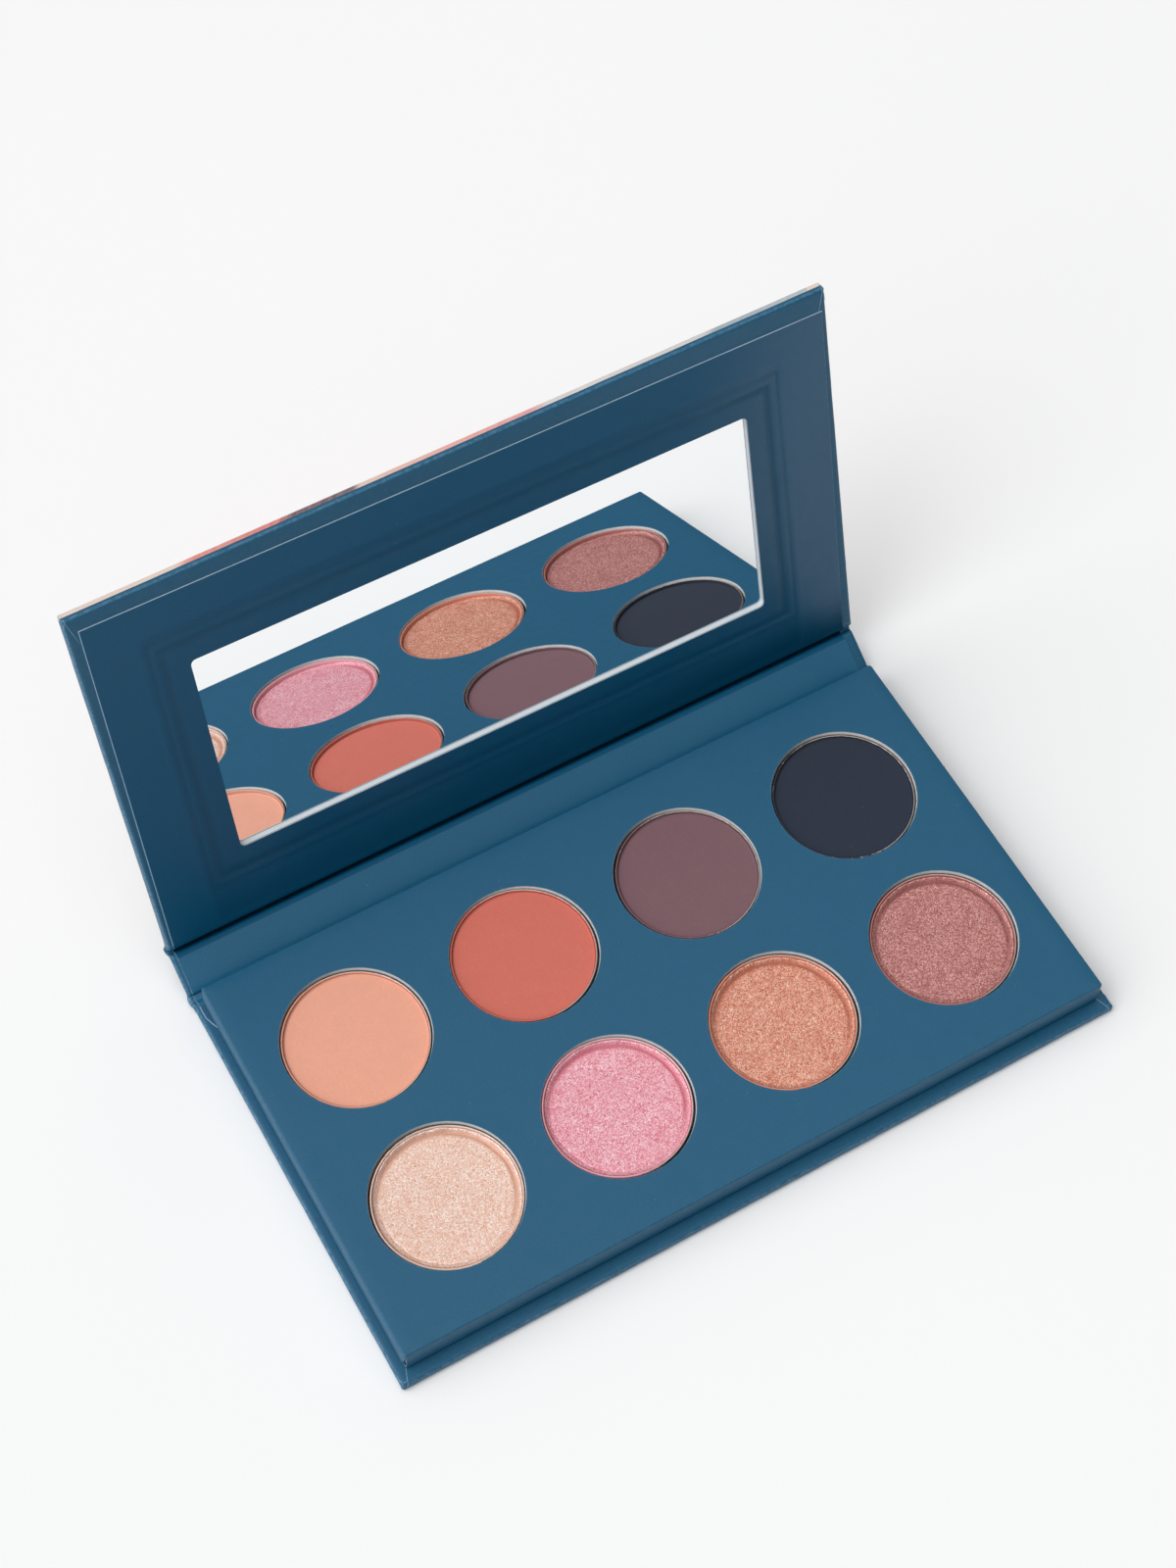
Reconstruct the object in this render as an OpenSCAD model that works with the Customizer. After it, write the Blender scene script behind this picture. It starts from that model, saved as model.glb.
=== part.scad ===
// Book-style eyeshadow palette: a paper-wrapped board cover with a mirror in its lid, and a tray that
// holds eight round pans of pressed powder. Width runs along X, the front faces -Y and the lid hinges
// at the back. The origin is on the underside of the base, below the middle of the tray.

/* [Pans] */
// Outside diameter of a pan
pan_d = 26.3; // [24:0.1:27]
// Height of a pan
pan_h = 4.5; // [3:0.1:7]
// Thickness of the pan's metal
pan_wall = 0.3; // [0.2:0.05:0.5]
// Outside radius where the pan's wall meets its floor
pan_corner_r = 0.9; // [0.6:0.1:1.5]
// Distance between neighbouring pan centres
pan_pitch = 33.6; // [31:0.2:40]
// Radial gap between a pan and its hole
pan_gap = 0.35; // [0.2:0.05:0.8]
// How far a pan's rim lies below the tray's top
pan_sink = 0.35; // [0.2:0.05:1]
// Diameter of the glue dot under a pan
glue_d = 9; // [4:1:16]
// Thickness of the glue dot under a pan
glue_t = 0.2; // [0.1:0.05:0.5]

/* [Powder] */
// How far a matte cake's face lies below the rim
matte_recess = 0.45; // [0.3:0.05:1]
// Radius of the pressed bead around a matte cake
matte_bead_r = 0.18; // [0.1:0.02:0.3]
// How far a shimmer cake's face lies below the rim
shimmer_recess = 0.62; // [0.5:0.02:1]
// Radius of the pressed bead around a shimmer cake
shimmer_bead_r = 0.45; // [0.2:0.05:0.5]

/* [Tray] */
// Tray surface left between the outer holes and the tray's sides
tray_side_margin = 6.1; // [4:0.1:15]
// Tray surface left between the holes and the tray's front or back
tray_end_margin = 8.3; // [7:0.1:15]
// Thickness of the card under the pans
tray_floor_t = 0.5; // [0.3:0.1:1.5]
// Radius of the tray's upright corners
tray_corner_r = 0.9; // [0.6:0.1:3]
// Radius of the tray's top edges
tray_edge_r = 0.6; // [0.4:0.1:1.2]
// Width of the paper folded under the tray
tray_turn_in = 8; // [4:0.5:12]

/* [Paper and board] */
// Thickness of the wrapping paper
wrap_t = 0.15; // [0.1:0.01:0.25]
// Thickness of the liner paper
liner_t = 0.12; // [0.08:0.01:0.2]
// Thickness of the base board
base_board_t = 1.8; // [1.5:0.1:3]
// Thickness of the spine board
spine_board_t = 1.4; // [1:0.1:2]
// Thickness of the lid's outer board
lid_board_t = 0.7; // [0.5:0.1:1.5]
// Thickness of the lid's inner board, which frames the mirror
frame_board_t = 0.6; // [0.4:0.1:1.2]
// Outside radius of a wrapped edge
edge_r = 0.7; // [0.4:0.05:0.9]
// Width of the paper folded over a cover board's edge
turn_in = 11; // [6:0.5:15]
// Distance from a cover's side edges to the liner
liner_side_margin = 1.6; // [1:0.1:4]
// Distance from the lid's free edge to the liner
liner_end_margin = 3.8; // [2:0.1:6]

/* [Cover] */
// How far the cover shows beyond the tray at each side
side_reveal = 1.8; // [0.5:0.1:5]
// How far the cover shows beyond the tray's front
front_reveal = 2.5; // [0.5:0.1:6]
// Room left between boards, and between spine and tray, when a crease is folded square
fold_clear = 0.2; // [0.1:0.05:0.5]
// Gap between the tray and the closed lid
closed_gap = 0.3; // [0.2:0.05:1]
// Distance that the liner and wrap stop short of a crease line
crease_gap = 0.4; // [0.35:0.05:0.6]

/* [Mirror] */
// Width of the mirror window
window_w = 107.4; // [80:0.2:112]
// Height of the mirror window
window_h = 45; // [30:0.5:48]
// Board left between the mirror's recess and the magnets above it
mirror_web = 2.395; // [1:0.005:4]
// Turn of the hand-laid window and liner against the lid, in degrees
window_skew = 0.6; // [0:0.1:1]
// Radius of the window's corners
window_corner_r = 1; // [0.5:0.1:3]
// How far the glass reaches behind the window's edge
mirror_lap = 4.5; // [2:0.1:6]
// Gap between the glass and the board around it
mirror_clear = 0.4; // [0.2:0.05:1]
// Thickness of the mirror's glass
glass_t = 0.7; // [0.5:0.05:1.5]
// Thickness of the silvering and its backing paint
silver_t = 0.05; // [0.03:0.01:0.1]
// Thickness of the tape behind the mirror
tape_t = 0.15; // [0.1:0.05:0.5]
// Height of each of the two strips of tape
tape_h = 12; // [6:1:18]

/* [Magnets] */
// Diameter of the closing magnets
magnet_d = 6; // [4:0.5:8]
// Thickness of the magnets in the tray
tray_magnet_t = 2; // [1:0.1:3]
// Distance from the tray's front to the magnets' centres
magnet_inset = 6.6; // [5:0.1:8]
// Gap around a magnet in its pocket
magnet_clear = 0.05; // [0.02:0.01:0.2]

/* [Rest position] */
// Angle of the spine above the table
spine_angle = 31; // [0:1:85]
// Angle of the lid beyond the spine's own direction
lid_angle = 43; // [0:1:85]

/* [Hidden] */
$fn = 96;

COLUMNS = 4;
ROWS = 2;
// Where each pan sits in its hole's play, as a share of the gap: back row, then front row
SEAT = [
    [-0.2, -0.3], [-0.4, 0.2], [0.3, -0.2], [-0.3, -0.3],
    [0.1, -0.4], [-0.3, 0.3], [-0.6, -0.1], [-0.4, -0.2]
];

// Tray
hole_d = pan_d + 2 * pan_gap;
tray_w = (COLUMNS - 1) * pan_pitch + hole_d + 2 * tray_side_margin;
tray_d = (ROWS - 1) * pan_pitch + hole_d + 2 * tray_end_margin;
tray_core_t = glue_t + pan_h + pan_sink - wrap_t;
tray_z = wrap_t + base_board_t + wrap_t + liner_t;
tray_floor_z = tray_z + wrap_t;
tray_core_z = tray_floor_z + tray_floor_t;
tray_top_z = tray_core_z + tray_core_t + wrap_t;
pan_z = tray_core_z + glue_t;
magnet_x = pan_pitch;
magnet_y = magnet_inset - tray_d / 2;

// Cover: heights count from a crease plane, which is the middle of the wrapping paper
crease_z = wrap_t / 2;
spine_stack = crease_z + spine_board_t + wrap_t + liner_t;
lid_surround_t = glass_t + silver_t + tape_t;
lid_boards_t = lid_board_t + lid_surround_t + frame_board_t;
lid_stack = crease_z + lid_boards_t + wrap_t + liner_t;
hinge_half = spine_stack + fold_clear;
board_start = hinge_half + liner_t;
cover_w = tray_w + 2 * side_reveal;
cover_d = tray_d + hinge_half + front_reveal;
base_hinge_y = tray_d / 2 + hinge_half;
spine_len = tray_top_z - crease_z + closed_gap + lid_stack;

// Layers of the lid, from the crease plane inwards
lid_surround_z = crease_z + lid_board_t;
lid_frame_z = lid_surround_z + lid_surround_t;
tape_z = lid_surround_z;
silver_z = tape_z + tape_t;
glass_z = silver_z + silver_t;
lid_magnet_y = base_hinge_y - magnet_y;
window_top = lid_magnet_y - magnet_d / 2 - magnet_clear - mirror_web - mirror_clear - mirror_lap;
window_y = window_top - window_h / 2;
mirror_w = window_w + 2 * mirror_lap;
mirror_h = window_h + 2 * mirror_lap;

// The base's liner narrows to tuck under the tray
tuck_start = 5.1;
tuck_end = 10.5;
tuck_in = 1.2;

EPS = 0.01;
BIG = 400;

cover_blue = [0.20, 0.39, 0.52];
liner_blue = [0.16, 0.31, 0.42];
board_grey = [0.62, 0.60, 0.57];
tin = [0.75, 0.74, 0.72];

function pan_x(i) = (i % COLUMNS - (COLUMNS - 1) / 2) * pan_pitch + SEAT[i][0] * pan_gap;
function pan_y(i) = ((ROWS - 1) / 2 - floor(i / COLUMNS)) * pan_pitch + SEAT[i][1] * pan_gap;

// ---- Placing ----

// A leaf's own frame: crease along X at the origin, +Y away from it, +Z to the inside of the cover
module in_base_leaf() {
    translate([0, base_hinge_y, crease_z]) mirror([0, 1, 0]) children();
}

module in_spine() {
    translate([0, base_hinge_y, crease_z]) rotate([spine_angle, 0, 0]) children();
}

module in_lid() {
    in_spine() translate([0, spine_len, 0]) rotate([lid_angle, 0, 0]) children();
}

module at_holes() {
    for (column = [0:COLUMNS - 1], row = [0:ROWS - 1])
        translate([(column - (COLUMNS - 1) / 2) * pan_pitch, (row - (ROWS - 1) / 2) * pan_pitch, 0])
            children();
}

module at_window() {
    translate([0, window_y, 0]) rotate([0, 0, -window_skew]) children();
}

// ---- Shared shapes ----

module round_rect(x0, x1, z0, z1, r) {
    translate([x0 + r, z0]) square([x1 - x0 - 2 * r, z1 - z0]);
    translate([x0, z0 + r]) square([x1 - x0, z1 - z0 - 2 * r]);
    for (x = [x0 + r, x1 - r], z = [z0 + r, z1 - r])
        translate([x, z]) circle(r);
}

module extrude_x(w) {
    rotate([90, 0, 90]) linear_extrude(w, center = true) children();
}

module extrude_y(y0, y1) {
    translate([0, y1, 0]) rotate([90, 0, 0]) linear_extrude(y1 - y0) children();
}

// Slab with rounded sides and a rounded far edge, and a square edge at y0
module leaf_slab(w, y0, y1, z0, z1, r) {
    intersection() {
        extrude_y(y0, y1) round_rect(-w / 2, w / 2, z0, z1, r);
        extrude_x(w) {
            round_rect(y0, y1, z0, z1, r);
            translate([y0, z0]) square([2 * r, z1 - z0]);
        }
    }
}

// Block with rounded upright corners and rounded top edges
module tray_block(inset, z0, z1) {
    w = tray_w - 2 * inset;
    d = tray_d - 2 * inset;
    r = tray_edge_r - inset;
    intersection() {
        extrude_y(-d / 2, d / 2) round_rect(-w / 2, w / 2, z0 - 2 * r, z1, r);
        extrude_x(w) round_rect(-d / 2, d / 2, z0 - 2 * r, z1, r);
        translate([0, 0, z0])
            linear_extrude(z1 - z0) round_rect(-w / 2, w / 2, -d / 2, d / 2, tray_corner_r - inset);
    }
}

module layer(z0, z1) {
    translate([-BIG / 2, -BIG / 2, z0]) cube([BIG, BIG, z1 - z0]);
}

// Paper around a board: the outer sheet, the wrapped edges and the fold over the inner face
module leaf_wrap(boards_t) {
    inner_z = crease_z + boards_t;
    r = edge_r - wrap_t;
    difference() {
        leaf_slab(cover_w, crease_gap, cover_d, -crease_z, inner_z + wrap_t, edge_r);
        leaf_slab(cover_w - 2 * wrap_t, board_start, cover_d - wrap_t, crease_z, inner_z, r);
        translate([-cover_w, -board_start, crease_z])
            cube([2 * cover_w, 2 * board_start, BIG]);
        translate([turn_in - cover_w / 2, 0, inner_z - EPS])
            cube([cover_w - 2 * turn_in, cover_d - turn_in, BIG]);
    }
}

module leaf_boards(boards_t) {
    leaf_slab(cover_w - 2 * wrap_t, board_start, cover_d - wrap_t, crease_z, crease_z + boards_t,
              edge_r - wrap_t);
}

// Liner in a crease: a strip along the wrap and a riser up the end of the board
module crease_liner(boards_t) {
    w = cover_w - 2 * liner_side_margin;
    extrude_x(w) {
        translate([crease_gap, crease_z]) square([board_start - crease_gap, liner_t]);
        translate([hinge_half, crease_z]) square([liner_t, boards_t + wrap_t + liner_t]);
    }
}

// Glued-down middle of the liner, which fills the step inside the folded-over paper
module liner_fill(boards_t, y1) {
    translate([turn_in - cover_w / 2, board_start, crease_z + boards_t])
        cube([cover_w - 2 * turn_in, y1 - board_start, wrap_t]);
}

module window_shape(extra) {
    w = window_w + 2 * extra;
    h = window_h + 2 * extra;
    at_window() round_rect(-w / 2, w / 2, -h / 2, h / 2, window_corner_r);
}

module cup_profile(r, h, corner) {
    translate([0, corner]) square([r, h - corner]);
    square([r - corner, h]);
    translate([r - corner, corner]) circle(corner);
}

module right_half() {
    intersection() {
        children();
        translate([0, -BIG / 2]) square([BIG, BIG]);
    }
}

// ---- Base ----

module base_board() {
    color(board_grey) in_base_leaf() leaf_boards(base_board_t);
}

module base_wrap() {
    color(cover_blue) in_base_leaf() leaf_wrap(base_board_t);
}

module base_liner() {
    wide = cover_w / 2 - liner_side_margin;
    narrow = tray_w / 2 - tuck_in;
    end = cover_d - front_reveal - tuck_in;
    color(liner_blue) in_base_leaf() {
        crease_liner(base_board_t);
        liner_fill(base_board_t, cover_d - turn_in);
        translate([0, 0, crease_z + base_board_t + wrap_t])
            linear_extrude(liner_t)
                polygon([
                    [-wide, hinge_half], [wide, hinge_half], [wide, tuck_start], [narrow, tuck_end],
                    [narrow, end], [-narrow, end], [-narrow, tuck_end], [-wide, tuck_start]
                ]);
    }
}

module tray_floor() {
    color(board_grey) {
        intersection() {
            tray_block(wrap_t, tray_floor_z, tray_top_z - wrap_t);
            layer(tray_floor_z, tray_core_z);
        }
        translate([tray_turn_in - tray_w / 2, tray_turn_in - tray_d / 2, tray_z])
            cube([tray_w - 2 * tray_turn_in, tray_d - 2 * tray_turn_in, wrap_t + EPS]);
    }
}

module tray_core() {
    color(board_grey) difference() {
        intersection() {
            tray_block(wrap_t, tray_floor_z, tray_top_z - wrap_t);
            layer(tray_core_z, tray_top_z);
        }
        at_holes() translate([0, 0, tray_core_z - 1]) cylinder(d = hole_d, h = tray_core_t + 2);
        for (x = [-magnet_x, magnet_x])
            translate([x, magnet_y, tray_top_z - wrap_t - tray_magnet_t])
                cylinder(d = magnet_d + 2 * magnet_clear, h = tray_magnet_t + 1);
    }
}

module tray_wrap() {
    color(cover_blue) difference() {
        tray_block(0, tray_z, tray_top_z);
        tray_block(wrap_t, tray_floor_z, tray_top_z - wrap_t);
        at_holes() translate([0, 0, tray_core_z]) cylinder(d = hole_d, h = tray_core_t + 2);
        translate([tray_turn_in - tray_w / 2, tray_turn_in - tray_d / 2, tray_z - 1])
            cube([tray_w - 2 * tray_turn_in, tray_d - 2 * tray_turn_in, wrap_t + 2]);
    }
}

module tray_magnets() {
    color(tin) for (x = [-magnet_x, magnet_x])
        translate([x, magnet_y, tray_top_z - wrap_t - tray_magnet_t])
            cylinder(d = magnet_d, h = tray_magnet_t);
}

// ---- Pans and powder ----

module pan_glue_dots() {
    color("ivory") for (i = [0:COLUMNS * ROWS - 1])
        translate([pan_x(i), pan_y(i), tray_core_z]) cylinder(d = glue_d, h = glue_t);
}

module pan(i) {
    color(tin) translate([pan_x(i), pan_y(i), pan_z]) rotate_extrude() right_half() difference() {
        cup_profile(pan_d / 2, pan_h, pan_corner_r);
        translate([0, pan_wall]) cup_profile(pan_d / 2 - pan_wall, pan_h, pan_corner_r - pan_wall);
    }
}

module powder(i, recess, bead_r, shade) {
    r = pan_d / 2 - pan_wall;
    h = pan_h - pan_wall - recess;
    color(shade) translate([pan_x(i), pan_y(i), pan_z + pan_wall]) rotate_extrude() right_half() {
        cup_profile(r, h, pan_corner_r - pan_wall);
        translate([r - bead_r, h]) circle(bead_r);
    }
}

module matte(i, shade) {
    powder(i, matte_recess, matte_bead_r, shade);
}

module shimmer(i, shade) {
    powder(i, shimmer_recess, shimmer_bead_r, shade);
}

module pan_peach() { pan(0); }
module pan_brick() { pan(1); }
module pan_plum() { pan(2); }
module pan_midnight() { pan(3); }
module pan_cream() { pan(4); }
module pan_pink() { pan(5); }
module pan_copper() { pan(6); }
module pan_mauve() { pan(7); }

module powder_peach() { matte(0, [0.89, 0.61, 0.51]); }
module powder_brick() { matte(1, [0.78, 0.41, 0.37]); }
module powder_plum() { matte(2, [0.47, 0.35, 0.38]); }
module powder_midnight() { matte(3, [0.18, 0.20, 0.26]); }
module powder_cream() { shimmer(4, [0.89, 0.75, 0.66]); }
module powder_pink() { shimmer(5, [0.87, 0.52, 0.62]); }
module powder_copper() { shimmer(6, [0.80, 0.53, 0.43]); }
module powder_mauve() { shimmer(7, [0.69, 0.45, 0.46]); }

// ---- Spine ----

module spine_board() {
    w = cover_w - 2 * wrap_t;
    color(board_grey) in_spine()
        extrude_y(board_start, spine_len - board_start)
            round_rect(-w / 2, w / 2, crease_z, crease_z + spine_board_t, edge_r - wrap_t);
}

module spine_wrap() {
    inner_z = crease_z + spine_board_t;
    w = cover_w - 2 * wrap_t;
    color(cover_blue) in_spine() difference() {
        extrude_y(crease_gap, spine_len - crease_gap)
            round_rect(-cover_w / 2, cover_w / 2, -crease_z, inner_z + wrap_t, edge_r);
        extrude_y(0, spine_len) round_rect(-w / 2, w / 2, crease_z, inner_z, edge_r - wrap_t);
        for (y = [-board_start, spine_len - board_start])
            translate([-cover_w, y, crease_z]) cube([2 * cover_w, 2 * board_start, BIG]);
        translate([turn_in - cover_w / 2, 0, inner_z - EPS])
            cube([cover_w - 2 * turn_in, spine_len, BIG]);
    }
}

module spine_liner() {
    w = cover_w - 2 * liner_side_margin;
    color(liner_blue) in_spine() {
        crease_liner(spine_board_t);
        translate([0, spine_len, 0]) mirror([0, 1, 0]) crease_liner(spine_board_t);
        liner_fill(spine_board_t, spine_len - board_start);
        translate([-w / 2, hinge_half, crease_z + spine_board_t + wrap_t])
            cube([w, spine_len - 2 * hinge_half, liner_t]);
    }
}

// ---- Lid ----

module lid_board() {
    color(board_grey) in_lid() intersection() {
        leaf_boards(lid_boards_t);
        layer(crease_z, lid_surround_z);
    }
}

module mirror_surround() {
    color(board_grey) in_lid() difference() {
        intersection() {
            leaf_boards(lid_boards_t);
            layer(lid_surround_z, lid_frame_z);
        }
        translate([0, 0, lid_surround_z - 1])
            linear_extrude(lid_surround_t + 2) window_shape(mirror_lap + mirror_clear);
        for (x = [-magnet_x, magnet_x])
            translate([x, lid_magnet_y, lid_surround_z - 1])
                cylinder(d = magnet_d + 2 * magnet_clear, h = lid_surround_t + 2);
    }
}

module window_frame() {
    color(board_grey) in_lid() difference() {
        intersection() {
            leaf_boards(lid_boards_t);
            layer(lid_frame_z, lid_frame_z + frame_board_t);
        }
        translate([0, 0, lid_frame_z - 1]) linear_extrude(frame_board_t + 2) window_shape(0);
    }
}

module lid_wrap() {
    color(cover_blue) in_lid() leaf_wrap(lid_boards_t);
}

module lid_liner() {
    w = cover_w - 2 * liner_side_margin;
    d = cover_d - liner_end_margin - hinge_half;
    plate_z = crease_z + lid_boards_t + wrap_t;
    color(liner_blue) in_lid() difference() {
        union() {
            crease_liner(lid_boards_t);
            liner_fill(lid_boards_t, cover_d - turn_in);
            translate([-w / 2, hinge_half, plate_z]) cube([w, d, liner_t]);
        }
        translate([0, 0, lid_frame_z]) linear_extrude(BIG) window_shape(0);
    }
}

module lid_magnets() {
    color(tin) in_lid() for (x = [-magnet_x, magnet_x])
        translate([x, lid_magnet_y, lid_surround_z])
            cylinder(d = magnet_d, h = lid_surround_t);
}

module mirror_sheet(z, t) {
    translate([0, 0, z]) linear_extrude(t) window_shape(mirror_lap);
}

module mirror_glass() {
    color("lightcyan") in_lid() mirror_sheet(glass_z, glass_t);
}

module mirror_silvering() {
    color("silver") in_lid() mirror_sheet(silver_z, silver_t);
}

module mirror_tape() {
    strip_w = mirror_w - 2 * mirror_lap;
    color("khaki") in_lid() translate([0, 0, tape_z]) linear_extrude(tape_t) at_window()
        for (side = [-1, 1])
            translate([-strip_w / 2, side * (mirror_h - 2 * mirror_lap - tape_h) / 2 - tape_h / 2])
                square([strip_w, tape_h]);
}

base_board();
base_wrap();
base_liner();
tray_floor();
tray_core();
tray_wrap();
tray_magnets();
pan_glue_dots();
pan_peach();
pan_brick();
pan_plum();
pan_midnight();
pan_cream();
pan_pink();
pan_copper();
pan_mauve();
powder_peach();
powder_brick();
powder_plum();
powder_midnight();
powder_cream();
powder_pink();
powder_copper();
powder_mauve();
spine_board();
spine_wrap();
spine_liner();
lid_board();
lid_wrap();
mirror_surround();
window_frame();
lid_liner();
lid_magnets();
mirror_glass();
mirror_silvering();
mirror_tape();
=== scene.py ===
"""Looks of a book-style eyeshadow palette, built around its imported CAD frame.

Shapes are written in millimetres, in the same leaf frames as the CAD: a leaf has its crease along X at
the origin, +Y away from the crease and +Z to the inside of the cover."""

from math import atan, atan2, cos, dist, exp, hypot, pi, radians, sin, sqrt, tan

import bmesh
import bpy
from mathutils import Matrix, Vector, noise
from mathutils.geometry import delaunay_2d_cdt


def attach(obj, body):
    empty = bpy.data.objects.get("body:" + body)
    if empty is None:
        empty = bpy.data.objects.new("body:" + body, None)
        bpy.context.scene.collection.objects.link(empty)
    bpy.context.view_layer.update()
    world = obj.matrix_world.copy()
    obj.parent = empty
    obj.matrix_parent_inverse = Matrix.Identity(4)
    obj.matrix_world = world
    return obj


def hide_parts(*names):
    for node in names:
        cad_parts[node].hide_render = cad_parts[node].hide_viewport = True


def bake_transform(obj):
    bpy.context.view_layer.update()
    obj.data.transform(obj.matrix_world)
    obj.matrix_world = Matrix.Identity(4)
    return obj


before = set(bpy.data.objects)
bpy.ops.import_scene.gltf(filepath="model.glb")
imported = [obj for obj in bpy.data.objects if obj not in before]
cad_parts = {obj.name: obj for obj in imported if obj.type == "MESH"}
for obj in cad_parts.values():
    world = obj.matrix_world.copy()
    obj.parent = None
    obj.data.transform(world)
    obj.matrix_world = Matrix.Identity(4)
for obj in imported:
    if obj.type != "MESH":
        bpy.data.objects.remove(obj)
scene = bpy.context.scene
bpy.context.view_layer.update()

# ---- sizes, in millimetres
MM = 0.001
WRAP, LINER = 0.15, 0.12
HALF = WRAP / 2
EDGE_R = 0.7
TURN_IN = 11.0
COVER_W, COVER_D = 143.6, 81.645
HINGE_Y, HINGE_Z = 40.545, 0.075
SPINE_LEN = 10.69
SPINE_ANGLE, LID_ANGLE = 31, 43
BASE_STACK, SPINE_STACK, LID_STACK = 2.025, 1.625, 2.425    # top of the folded-over paper
LEAF_START = 2.5                                            # where a leaf's papers take over from a crease
STRIP = 1.2                                                 # half of the paper that bends at a crease
LINER_X = 70.2
LINER_END = 77.845
SKEW = tan(radians(0.6))
WINDOW_X, WINDOW_LOW, WINDOW_HIGH = 53.7, 17.2, 62.2
WINDOW_MID = (WINDOW_LOW + WINDOW_HIGH) / 2
TRAY_X, TRAY_Y = 70.0, 38.6
TRAY_Z, TRAY_TOP = 2.22, 7.92
TRAY_CORNER, TRAY_EDGE, TRAY_FOOT = 0.6, 0.45, 0.6
HOLE_R = 13.5
HOLE_SIDES, PAN_SIDES = 144, 160
PUNCH = 0.15                    # how far the punched edge leans into a hole
PITCH = 33.6
PAN_R, PAN_WALL, PAN_H, PAN_Z = 13.15, 0.3, 4.5, 3.07
PAN_CORNER = 0.9
PAN_GAP = 0.35
SEAT = [(-0.2, -0.3), (-0.4, 0.2), (0.3, -0.2), (-0.3, -0.3),
        (0.1, -0.4), (-0.3, 0.3), (-0.6, -0.1), (-0.4, -0.2)]

BASE = Matrix.Translation((0, HINGE_Y, HINGE_Z)) @ Matrix.Diagonal((1, -1, 1, 1))
SPINE = Matrix.Translation((0, HINGE_Y, HINGE_Z)) @ Matrix.Rotation(radians(SPINE_ANGLE), 4, "X")
SPINE_END = SPINE @ Matrix.Translation((0, SPINE_LEN, 0)) @ Matrix.Diagonal((1, -1, 1, 1))
LID = (SPINE @ Matrix.Translation((0, SPINE_LEN, 0))
       @ Matrix.Rotation(radians(LID_ANGLE), 4, "X"))
WORLD = Matrix.Identity(4)


# ---- materials
def srgb(web):
    """Linear colour of a web colour such as "07a0ff"."""
    parts = [int(web[k:k + 2], 16) / 255 for k in (0, 2, 4)]
    return tuple(c / 12.92 if c <= 0.04045 else ((c + 0.055) / 1.055) ** 2.4 for c in parts) + (1.0,)


def set_inputs(tree, node, inputs):
    """An input is a value, or a socket to link from."""
    for key, value in dict(inputs).items():
        if isinstance(value, bpy.types.NodeSocket):
            tree.links.new(value, node.inputs[key])
        else:
            node.inputs[key].default_value = value


def add_node(tree, kind, inputs=(), out=0, **settings):
    """Adds a node to a tree and gives its output."""
    node = tree.nodes.new("ShaderNode" + kind)
    for key, value in settings.items():
        setattr(node, key, value)
    set_inputs(tree, node, inputs)
    return node.outputs[out]


class Nodes:
    """A material's node tree, with short calls that add and join nodes. at names its coordinates."""

    def __init__(self, name, at="Object", **sockets):
        self.material = bpy.data.materials.new(name)
        self.material.use_nodes = True
        self.tree = self.material.node_tree
        self.shader = self.tree.nodes["Principled BSDF"]
        self.to(**sockets)
        self.at = self.add("TexCoord", out=at)
        self.unit = MM if at == "Object" else 1.0       # what 1 mm is in the coordinates

    def add(self, *kind, **settings):
        return add_node(self.tree, *kind, **settings)

    def layer(self, name):
        return self.add("Attribute", out="Fac", attribute_name=name)

    def noise(self, size, detail=2.0, rough=0.5, distort=0.0, at=None):
        """Noise from 0 to 1 with features of size, in millimetres."""
        return self.add("TexNoise", {"Vector": at or self.at, "Scale": 1 / (size * self.unit),
                                     "Detail": detail, "Roughness": rough, "Distortion": distort})

    def cells(self, size, out="Color"):
        return self.add("TexVoronoi", {"Vector": self.at, "Scale": 1 / (size * self.unit)}, out)

    def span(self, value, low, high, to_low=0.0, to_high=1.0):
        return self.add("MapRange", {"Value": value, "From Min": low, "From Max": high,
                                     "To Min": to_low, "To Max": to_high})

    def maths(self, operation, a, b):
        return self.add("Math", {0: a, 1: b}, operation=operation)

    def times(self, a, b):
        return self.maths("MULTIPLY", a, b)

    def mix(self, share, a, b):
        return self.add("Mix", {"Factor": share, 6: a, 7: b}, 2, data_type="RGBA")

    def lay(self, colour, value, *span):
        """Lays a colour over the tone so far, where a value lies in a span."""
        self.tone = self.mix(self.span(value, *span) if span else value, self.tone, colour)

    def bump(self, height, distance_mm, strength=1.0, before=None):
        inputs = {"Height": height, "Distance": distance_mm * MM, "Strength": strength}
        if before is not None:
            inputs["Normal"] = before
        return self.add("Bump", inputs)

    def to(self, **sockets):
        """Sets or links sockets of the shader and gives the material."""
        set_inputs(self.tree, self.shader, {key.replace("_", " "): sockets[key] for key in sockets})
        return self.material


def scaled(colour, factor):
    return tuple(min(c * factor, 1.0) for c in colour[:3]) + (1.0,)


def paper_grain(n):
    """The fine fibres and slow waves of a laminated paper."""
    return n.bump(n.noise(14), 0.25, 0.5, n.bump(n.noise(0.55, 3, 0.6), 0.02, 0.6))


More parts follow.
